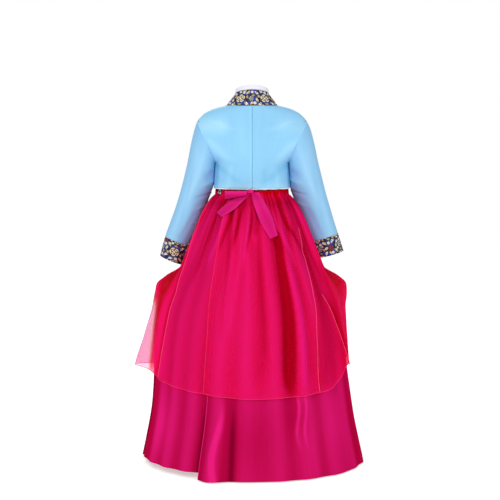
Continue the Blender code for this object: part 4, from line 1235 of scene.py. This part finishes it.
def front_panel(name, side):
    over = side > 0
    rows, tones = [], []
    for height in body_levels():
        width, depth, end = body_ring(float(height), "front_depth")
        edge = float(table_value(FRONT_EDGE, EDGE_COLUMNS, "across", height))
        angle = np.linspace(math.asin(edge / width), end, 71)
        x = width * np.sin(angle) + side_ease(float(height), angle / end)
        faded = ease(angle / end, 1.0, 0.93) * ease(x, 0.030, 0.060)
        out = jacket_creases(side * x, height, FRONT_CREASES) * faded
        eased = seam_ease(float(height), depth, end, angle / end)
        y = front_surface(x, height, over) - SEAM_GAP / 2 - eased - out
        rows.append(np.stack([side * x, y, np.full(x.shape, height - NECK_HEIGHT)], -1)[::-side])
        # Painted shade in the creases.
        tones.append((0.46 + 90.0 * out)[::-side])
    obj = grid_object(name + "_cloth", np.array(rows), "sky_cloth", JACKET_WALL, shade=np.array(tones))
    return cover(obj, "sky_satin", name)


def neck_line(over):
    """Seam, fold and strip edges of one half of the collar, from the centre back."""
    seam, top, strip = [], [], []
    width, depth, _ = body_ring(JACKET_TOP, "back_depth")
    top_width, top_depth, top_centre = COLLAR_TOP
    for angle in np.linspace(0.0, math.pi / 2, 40):
        back = math.cos(angle)
        x, y = width * math.sin(angle), depth * back
        rise = COLLAR_BACK_RISE - COLLAR_SIDE_DROP * (1 - back)
        tall = STRIP_SIDE_RISE + (STRIP_BACK_RISE - STRIP_SIDE_RISE) * back
        above = (top_width * math.sin(angle), top_centre + top_depth * back, JACKET_TOP + rise)
        seam.append((x, y, JACKET_TOP))
        top.append(above)
        strip.append((above[0] * 0.97, above[1] - 0.003 * back, above[2] + tall))
    for height in np.linspace(JACKET_TOP, COLLAR_LOW_END, 90)[1:]:
        x = float(table_value(FRONT_EDGE, EDGE_COLUMNS, "across", height))
        seam.append((x, float(front_surface(x, height, over)), height))
        across, up = x + COLLAR_FRONT_SHIFT[0], height + COLLAR_FRONT_SHIFT[1]
        top.append((across, collar_depth(across, up, over), up))
        across, up = across + STRIP_FRONT_SHIFT[0], up + STRIP_FRONT_SHIFT[1]
        strip.append((across, collar_depth(across, up, over), up))
    return np.array(seam), np.array(top), np.array(strip)


def collar_depth(x, height, over):
    on_body = float(front_surface(x, min(height, 0.985), over))
    return on_body + 0.020 * float(ease(height, 0.972, 1.004))


def smoothed(line, times):
    """A line with its corners eased, its ends kept."""
    line = line.copy()
    for _ in range(times):
        line[1:-1] = line[1:-1] * 0.5 + (line[:-2] + line[2:]) * 0.25
    return line


def collar_rows(lower, upper, steps, gap):
    lengths = np.linalg.norm(upper - lower, axis=1)[:, None]
    start = lower + (upper - lower) * gap / lengths
    return np.array([start + (upper - start) * share for share in np.linspace(0.0, 1.0, steps + 1)])


def build_collar():
    halves = {over: neck_line(over) for over in (True, False)}
    edges = []
    for kind in range(3):
        left = halves[True][kind]
        right = halves[False][kind] * np.array([-1.0, 1.0, 1.0])
        line = smoothed(np.concatenate((right[:0:-1], left)), 6)
        line[:, 2] -= NECK_HEIGHT
        edges.append(line)
    seam, top, strip = edges
    points = collar_rows(seam, top, 42, COLLAR_GAP)[::-1, ::-1]
    fine = np.linspace(0, points.shape[1] - 1, 720)
    low = np.floor(fine).astype(int).clip(0, points.shape[1] - 2)
    share = (fine - low)[None, :, None]
    points = points[:, low] * (1 - share) + points[:, low + 1] * share
    colour = brocade(points, False, COLLAR_START)
    collar = grid_object("collar_cloth", points, "brocade_cloth", JACKET_WALL, colour=colour)
    cover(collar, "brocade", "collar")
    points = collar_rows(top, strip, 14, STRIP_GAP)[::-1, ::-1]
    white = grid_object("collar_strip_cloth", points, "cotton_cloth", JACKET_WALL)
    cover(white, "white_cotton", "collar_strip")
    # A dark cord along the strip's fold: painted shade in the fold.
    line = points[7] + np.array([0.0, 0.0006, 0.0]) * np.sign(points[7][:, 1:2] + 0.02)
    cover(tube_object("strip_fold_shade", line, 0.0006, "cotton_fold_shade"), "white_cotton")


def armhole_ring(side, count):
    line = np.array([float(armhole_x(1.0) - armhole_x(0.0)), SHOULDER_HEIGHT - ARMPIT_HEIGHT])
    line /= np.linalg.norm(line)
    away = np.array([line[1], -line[0]])
    turn = np.linspace(0.0, 2 * math.pi, count, endpoint=False)
    top = np.cos(turn)
    up = (1 + top) / 2
    out = JACKET_WALL * smooth(top, (-1.0, -0.6, 1.0), (-0.4, 0.9, 1.0))
    along = 0.0002
    place_x = armhole_x(up) + line[0] * out * top + away[0] * along
    place_h = ARMPIT_HEIGHT + (SHOULDER_HEIGHT - ARMPIT_HEIGHT) * up + line[1] * out * top + away[1] * along
    depth = (ARMHOLE_HALF_DEPTH + np.abs(out)) * np.sin(turn)
    return np.stack([side * place_x, depth, place_h - NECK_HEIGHT], -1)


def tube_rings(table, side, count, steps, first=None):
    """Rings down a sleeve or cuff, eased between the table's lines."""
    turn = np.linspace(0.0, 2 * math.pi, count, endpoint=False)
    share = (1 + np.cos(turn)) / 2
    rings = [] if first is None else [first]
    for outer_x, outer_height, inner_x, inner_height, centre_y, half_depth in table:
        x = inner_x + (outer_x - inner_x) * share
        height = inner_height + (outer_height - inner_height) * share
        y = centre_y + half_depth * np.sin(turn)
        rings.append(np.stack([side * x, y, height - NECK_HEIGHT], -1))
    rings = np.array(rings)
    middle = rings.mean(1)
    knots = np.concatenate([[0.0], np.cumsum(np.linalg.norm(np.diff(middle, axis=0), axis=1))])
    at = np.linspace(0.0, knots[-1], steps + 1)
    flat = rings.reshape(len(rings), -1)
    fine = np.empty((steps + 1, flat.shape[1]))
    for j in range(flat.shape[1]):
        fine[:, j] = smooth(at, knots, flat[:, j])
    return fine.reshape(steps + 1, count, 3)


def sleeve_creases(points, turn, share):
    """Soft creases, and their offsets, which the painted shade follows."""
    out = np.zeros(points.shape[:2])
    for turn_start, start, turn_end, end, width, size in SLEEVE_CREASES:
        at = (share - start) / (end - start)
        middle = turn_start + (turn_end - turn_start) * np.clip(at, 0.0, 1.0)
        ends = ease(at, -0.35, 0.25) * ease(at, 1.35, 0.75)
        out = out + size * ends * np.exp(-((turned(turn - middle) / width) ** 2))
    middle = points.mean(1, keepdims=True)
    away = points - middle
    away /= np.linalg.norm(away, axis=2)[..., None]
    return points + away * out[..., None], out


def add_sleeve(name, side, table):
    count = 112
    points = tube_rings(table, side, count, 110, armhole_ring(side, count))
    turn = np.linspace(0.0, 360.0, count, endpoint=False)[None, :]
    share = np.linspace(0.0, 1.0, 111)[:, None]
    creased, out = sleeve_creases(points, turn, share)
    keep = ease(share, 0.0, 0.06)[..., None] * ease(share, 1.0, 0.97)[..., None]
    points = points + (creased - points) * keep
    # Painted shade on the inner side, which the lavender deep colour turns into a painted reflection of the
    # skirt; a painted highlight high on the outside; painted shade in the creases.
    inner_shade = ease(-np.cos(np.radians(turn)), -0.1, 0.9) * ease(share, 0.12, 0.50)
    painted_highlight = 0.12 * np.exp(-(((turn - 62.0) / 22.0) ** 2)) * ease(share, 0.02, 0.20)
    shade = 0.47 + 85.0 * out + painted_highlight - 0.30 * inner_shade
    points, shade = points[::-1, ::side], shade[::-1, ::side]
    obj = grid_object(name + "_cloth", points, "sky_sleeve", JACKET_WALL, inward=True, tube=True, shade=shade)
    cover(obj, "sky_satin", name)
    ring = armhole_ring(side, 120)
    # A paler cord round the armhole: painted highlight on the seam.
    cover(tube_object("armhole_seam" + name[6:], ring, 0.0010, "sky_seam_highlight", closed=True), "sky_satin")
    return obj


def add_cuff(name, side, table, start):
    points = tube_rings(table, side, 300, 84)
    step = points[1] - points[0]
    length = np.linalg.norm(step, axis=1)[:, None]
    fade = np.linspace(1.0, 0.0, 12)[:, None, None]
    points[:12] += (step / length * CUFF_GAP)[None] * fade
    points = points[::-1, ::side]
    colour = brocade(points, True, start)
    look = "brocade_cloth"
    obj = grid_object(name + "_cloth", points, look, JACKET_WALL, inward=True, tube=True, colour=colour)
    cover(obj, "brocade", name)
    cover(tube_object(name + "_piping", points[-1][::4], 0.0011, "cream_piping", closed=True), "brocade")
    cover(tube_object(name + "_edge", points[0][::4], 0.0010, "navy_piping", closed=True), "brocade")
    return obj


def brocade(points, tube, start):
    """The woven flowers, worked out at each point from the cloth's own lengths."""
    middle = points[len(points) // 2]
    if tube:
        middle = np.concatenate([middle, middle[:1]])
    along = np.concatenate([[0.0], np.cumsum(np.linalg.norm(np.diff(middle, axis=0), axis=1))]) * 1000.0
    side = points[:, points.shape[1] // 2]
    up = np.concatenate([[0.0], np.cumsum(np.linalg.norm(np.diff(side, axis=0), axis=1))]) * 1000.0
    if tube:
        along = along / along[-1] * REPEAT[0] * max(1, round(along[-1] / REPEAT[0]))
        along = along[:-1]
    else:
        along = along - along[-1] / 2
    u, v = np.meshgrid(along + start[0], up + start[1])
    return flowers(u, v)


def soft(distance, edge=0.45):
    """1 inside a shape and 0 outside it, from how far outside each point is."""
    return np.clip(0.5 - distance / edge, 0.0, 1.0)


def paint(ground, mask, colour):
    mask = np.clip(mask, 0.0, 1.0)[..., None]
    ground[...] = ground * (1 - mask) + np.asarray(colour) * mask


def from_middle(u, v, place):
    du = (u - place[0] + REPEAT[0] / 2) % REPEAT[0] - REPEAT[0] / 2
    dv = (v - place[1] + REPEAT[1] / 2) % REPEAT[1] - REPEAT[1] / 2
    return du, dv


def paint_leaf(ground, du, dv, length, width, turn, colour):
    turn = math.radians(turn)
    along = du * math.cos(turn) + dv * math.sin(turn)
    across = -du * math.sin(turn) + dv * math.cos(turn) + 0.035 * along * along
    edge = np.abs(across) - width / 2 * np.maximum(0.0, 1 - (2 * along / length) ** 2) ** 0.8
    vein = np.abs(across) - 0.42
    rib = np.abs(np.mod(along - np.abs(across) * 0.9, 3.2) - 1.6) - 0.32
    paint(ground, soft(edge - 0.9), INK)
    paint(ground, soft(edge), colour)
    paint(ground, soft(np.maximum(np.minimum(vein, rib), edge + 0.8)), np.array(colour) * 0.10)


def paint_blossom(ground, du, dv, radius, turn, colour):
    reach, angle = np.hypot(du, dv), np.arctan2(dv, du) + math.radians(turn)
    edge = reach - radius * (0.70 + 0.30 * np.abs(np.cos(2.5 * angle)))
    paint(ground, soft(edge - 0.9), INK)
    paint(ground, soft(edge), colour)
    paint(ground, soft(np.abs(np.cos(2.5 * angle + math.pi / 2)) * reach / 2.5 - 0.3) * (edge < -0.3), INK)
    paint(ground, soft(reach - radius * 0.30), GOLD)


def paint_rose(ground, du, dv, radius, turn, colour):
    """Rings of round petals, each with a dark line round it."""
    reach, angle = np.hypot(du, dv), np.arctan2(dv, du) + math.radians(turn)
    line = 0.75 + 0.055 * radius
    for share, petals, phase in ((1.00, 5, 0.0), (0.64, 4, 0.7), (0.30, 2, 0.2)):
        wave = np.abs(np.cos(petals / 2 * angle + phase + reach / radius * 0.5))
        rim = radius * share * (0.84 + 0.16 * wave**0.6)
        paint(ground, soft(reach - rim - line * 0.5), INK)
        deep = np.clip((rim - reach) / (radius * 0.40) - 0.25, 0.0, 1.0)[..., None]
        petal = np.asarray(colour) * (1 - 0.55 * deep)
        mask = soft(reach - rim + line * 0.8)[..., None]
        ground[...] = ground * (1 - mask) + petal * mask
        if share > 0.4:
            spoke = wave * reach / petals * 2 - line * 0.8
            paint(ground, soft(spoke) * (reach < rim) * (reach > rim * 0.60), INK)


def flowers(u, v):
    ground = np.empty(u.shape + (3,))
    ground[...] = NAVY
    patch = np.sin(u * 0.1904 + 0.6) + np.sin(v * 0.2094 + 1.0) + 0.7 * np.sin(u * 0.1904 + v * 0.2094 + 2.0)
    paint(ground, ease(patch, 0.10, 0.50), ROYAL)
    for leaf in LEAVES:
        paint_leaf(ground, *from_middle(u, v, leaf[:2]), *leaf[2:])
    for blossom in BLOSSOMS:
        paint_blossom(ground, *from_middle(u, v, blossom[:2]), *blossom[2:])
    for rose in ROSES:
        paint_rose(ground, *from_middle(u, v, rose[:2]), *rose[2:])
    return ground


def hem_line(panel, over, side):
    height = HEM_SHOWN
    width, depth, _ = body_ring(height, "back_depth" if panel == "back" else "front_depth")
    edge = FRONT_EDGE[0][1]
    if panel == "back":
        angle = np.linspace(-math.pi / 2, math.pi / 2, 120)
        line = np.stack([width * np.sin(angle), depth * np.cos(angle)], -1)
    else:
        angle = np.linspace(math.asin(edge / width), math.pi / 2, 90)
        x = width * np.sin(angle)
        line = np.stack([x, front_surface(x, height, over)], -1)
    outward = line / np.linalg.norm(line, axis=1)[:, None]
    line = line + outward * JACKET_WALL / 2
    return np.stack([side * line[:, 0], line[:, 1], np.full(len(line), height - 0.0010 - NECK_HEIGHT)], -1)


# The ribbons.


def back_face(x, height):
    width = table_value(SKIRT_RINGS, RING_COLUMNS, "half_width", height)
    depth = table_value(SKIRT_RINGS, RING_COLUMNS, "half_depth", height)
    back = table_value(SKIRT_RINGS, RING_COLUMNS, "shift_back", height)
    out = layer_value("over_overlay", height) + ORGANZA_WALL + RIBBON_CLEARANCE
    return back + (depth + out) * np.sqrt(1 - (x / (width + out)) ** 2)


def front_face(x, height):
    width = table_value(SKIRT_RINGS, RING_COLUMNS, "half_width", height)
    depth = table_value(SKIRT_RINGS, RING_COLUMNS, "half_depth", height)
    back = table_value(SKIRT_RINGS, RING_COLUMNS, "shift_back", height)
    out = layer_value("plain_overlay", height) + ORGANZA_WALL + RIBBON_CLEARANCE
    skirt = back - (depth + out) * np.sqrt(1 - (x / (width + out)) ** 2)
    off = OVER_FRONT_LIFT + JACKET_WALL + FRONT_RIBBON_CLEARANCE
    places = zip(np.ravel(x), np.ravel(height))
    jacket = np.array([float(front_surface(a, max(h, JACKET_HEM), False)) for a, h in places])
    jacket = jacket.reshape(np.shape(x)) - off
    below = ease(height, JACKET_HEM, JACKET_HEM - 0.050)
    return np.minimum(skirt, jacket * (1 - below) + skirt * below)


def add_tail(name, table, face, steps=70):
    outward = -1 if face is front_face else 1
    knots = np.linspace(0.0, 1.0, len(table))
    down = np.linspace(0.0, 1.0, steps + 1)
    edges = np.stack([smooth(down, knots, values) for values in np.transpose(table)], -1)
    share = np.linspace(0.0, 1.0, 25)[None, :]
    x = edges[:, :1] + (edges[:, 2:3] - edges[:, :1]) * share
    height = edges[:, 1:2] + (edges[:, 3:4] - edges[:, 1:2]) * share
    y = face(x, height)
    points = np.stack([x, y, height - NECK_HEIGHT], -1)[::-1, ::outward]
    # Painted highlight along both edges of the ribbon.
    shade = 0.45 + 0.25 * np.abs(share - 0.5) * np.ones(x.shape)
    obj = grid_object(name + "_cloth", points, "ribbon_cloth", RIBBON_WALL, shade=shade)
    return cover(obj, "ribbon_satin", name)


def add_loop(name, place, knot_size, side, face):
    x, height = place
    outward = -1 if face is front_face else 1
    turn = np.linspace(0.0, math.pi, 61)[:, None]
    reach = np.sin(turn)
    across = x + side * (knot_size[0] / 2 + LOOP_REACH * reach)
    off = LOOP_CLEARANCE + RIBBON_WALL + LOOP_DEPTH * (1 - np.cos(turn)) / 2
    narrow, wide = LOOP_HALF_WIDTH
    half = narrow + (wide - narrow) * reach
    share = np.linspace(-1.0, 1.0, 25)[None, :]
    level = height - 0.006 * reach + half * share
    across = across + 0 * share
    y = face(across, level) + outward * off
    points = np.stack([across, y, level - NECK_HEIGHT], -1)[:, :: (1 if side * outward > 0 else -1)]
    # Painted light: the loop lighter towards its upper edge, darker towards its lower edge.
    shade = 0.5 + 0.2 * share * np.ones(level.shape)
    obj = grid_object(name + "_cloth", points, "ribbon_cloth", RIBBON_WALL, shade=shade)
    return cover(obj, "ribbon_satin", name)


def add_knot(name, node, rise=0.0, tall=1.0):
    """A tied knot: a rounded form with the ribbon's wraps as grooves."""
    low, high = (np.array(corner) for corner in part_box(node))
    middle, half = (low + high) / 2, (high - low) / 2
    middle[2] += rise
    half[2] *= tall
    turn = np.linspace(0.0, 2 * math.pi, 48, endpoint=False)
    rows = []
    for up in np.linspace(-math.pi / 2, math.pi / 2, 33):
        groove = 1.0 + 0.05 * np.cos(3 * turn + 2.0 * up)
        x = np.sign(np.cos(turn)) * np.abs(np.cos(turn)) ** 0.7 * math.cos(up) ** 0.5 * groove
        y = np.sign(np.sin(turn)) * np.abs(np.sin(turn)) ** 0.7 * math.cos(up) ** 0.5 * groove
        z = np.full(turn.shape, math.copysign(abs(math.sin(up)) ** 0.8, up))
        rows.append(middle + half * 0.95 * np.stack([x, y, z], -1))
    points = np.array(rows)
    shade = np.full(points.shape[:2], 0.5)
    obj = grid_object(name + "_cloth", points, "ribbon_cloth", tube=True, shade=shade)
    return cover(obj, "ribbon_satin", node)


def build_jacket():
    back_panel("back_left", 1)
    back_panel("back_right", -1)
    front_panel("front_left", 1)
    front_panel("front_right", -1)
    add_sleeve("sleeve_left", 1, SLEEVE_LEFT)
    add_sleeve("sleeve_right", -1, SLEEVE_RIGHT)
    add_cuff("cuff_left", 1, CUFF_LEFT, CUFF_LEFT_START)
    add_cuff("cuff_right", -1, CUFF_RIGHT, CUFF_RIGHT_START)
    build_collar()
    for name, line in (
        ("hem_edge_back", hem_line("back", False, 1)),
        ("hem_edge_left", hem_line("front", True, 1)),
        ("hem_edge_right", hem_line("front", False, -1)),
    ):
        cover(tube_object(name + "_cloth", line, 0.0017, "hem_white", sides=12), "white_cotton", name)
    # A dark cord beside the centre back seam: painted shadow of the seam.
    heights = np.linspace(HEM_SHOWN + 0.001, JACKET_TOP - 0.001, 80)
    depths = np.array([float(table_value(BODY, BODY_COLUMNS, "back_depth", h)) for h in heights])
    seam = np.stack([np.full(80, -0.0006), depths + JACKET_WALL + 0.0001, heights - NECK_HEIGHT], -1)
    cover(tube_object("centre_back_seam_shadow", seam, 0.0006, "sky_shadow"), "sky_satin")


def build_ribbons():
    add_knot("bow_knot", "bow_knot", 0.0105, 0.60)
    add_loop("bow_loop", BOW_KNOT, BOW_KNOT_SIZE, 1, back_face)
    add_tail("bow_tail_left", BOW_TAIL_LEFT, back_face)
    add_tail("bow_tail_right", BOW_TAIL_RIGHT, back_face)
    add_knot("tie_knot", "tie_knot")
    add_loop("tie_loop", FRONT_KNOT, FRONT_KNOT_SIZE, 1, front_face)
    add_tail("tie_tail_left", FRONT_TAIL_LEFT, front_face)
    add_tail("tie_tail_right", FRONT_TAIL_RIGHT, front_face)


# Studio.


def add_light(name, place, target, size, power, colour=(1.0, 1.0, 1.0)):
    data = bpy.data.lights.new(name, "AREA")
    data.shape = "DISK"
    data.size = size
    data.energy = power
    data.color = colour
    obj = bpy.data.objects.new(name, data)
    obj.location = place
    obj.rotation_euler = (Vector(target) - Vector(place)).to_track_quat("-Z", "Y").to_euler()
    bpy.context.scene.collection.objects.link(obj)


def build_studio():
    scene = bpy.context.scene
    scene.view_settings.view_transform = "Standard"
    camera = bpy.data.objects.new("camera", bpy.data.cameras.new("camera"))
    camera.location = CAMERA_PLACE
    camera.rotation_euler = (math.radians(90.0 - CAMERA_TILT), 0.0, math.pi)
    camera.data.lens = CAMERA_LENS
    camera.data.shift_x = CAMERA_SHIFT
    scene.collection.objects.link(camera)
    scene.camera = camera
    mesh = bpy.data.meshes.new("floor")
    size = 14.0
    z = -NECK_HEIGHT - 0.003
    corners = [(-size, -size, z), (size, -size, z), (size, size, z), (-size, size, z)]
    mesh.from_pydata(corners, [], [(0, 1, 2, 3)])
    mesh.materials.append(looks["floor_white"])
    floor = bpy.data.objects.new("floor", mesh)
    scene.collection.objects.link(floor)
    world = bpy.data.worlds.new("studio")
    scene.world = world
    world.use_nodes = True
    nodes, links = world.node_tree.nodes, world.node_tree.links
    lit = nodes["Background"]
    lit.inputs["Color"].default_value = (1.0, 1.0, 1.0, 1.0)
    lit.inputs["Strength"].default_value = 0.56
    seen = nodes.new("ShaderNodeBackground")
    seen.inputs["Color"].default_value = (1.0, 1.0, 1.0, 1.0)
    seen.inputs["Strength"].default_value = 1.0
    ray = nodes.new("ShaderNodeLightPath")
    mix = nodes.new("ShaderNodeMixShader")
    links.new(ray.outputs["Is Camera Ray"], mix.inputs["Fac"])
    links.new(lit.outputs["Background"], mix.inputs[1])
    links.new(seen.outputs["Background"], mix.inputs[2])
    links.new(mix.outputs["Shader"], nodes["World Output"].inputs["Surface"])
    add_light("key", (0.9, 3.4, 1.7), (0.0, 0.0, -0.45), 1.6, 46.0)
    add_light("fill", (-1.7, 3.2, 0.7), (0.0, 0.0, -0.45), 2.0, 13.0)
    add_light("front", (0.6, -3.2, 1.6), (0.0, 0.0, -0.45), 2.0, 38.0)
    add_light("top", (0.0, 0.2, 3.0), (0.0, 0.0, -0.3), 2.5, 16.0)


make_materials()
build_skirt()
build_jacket()
build_ribbons()
build_studio()
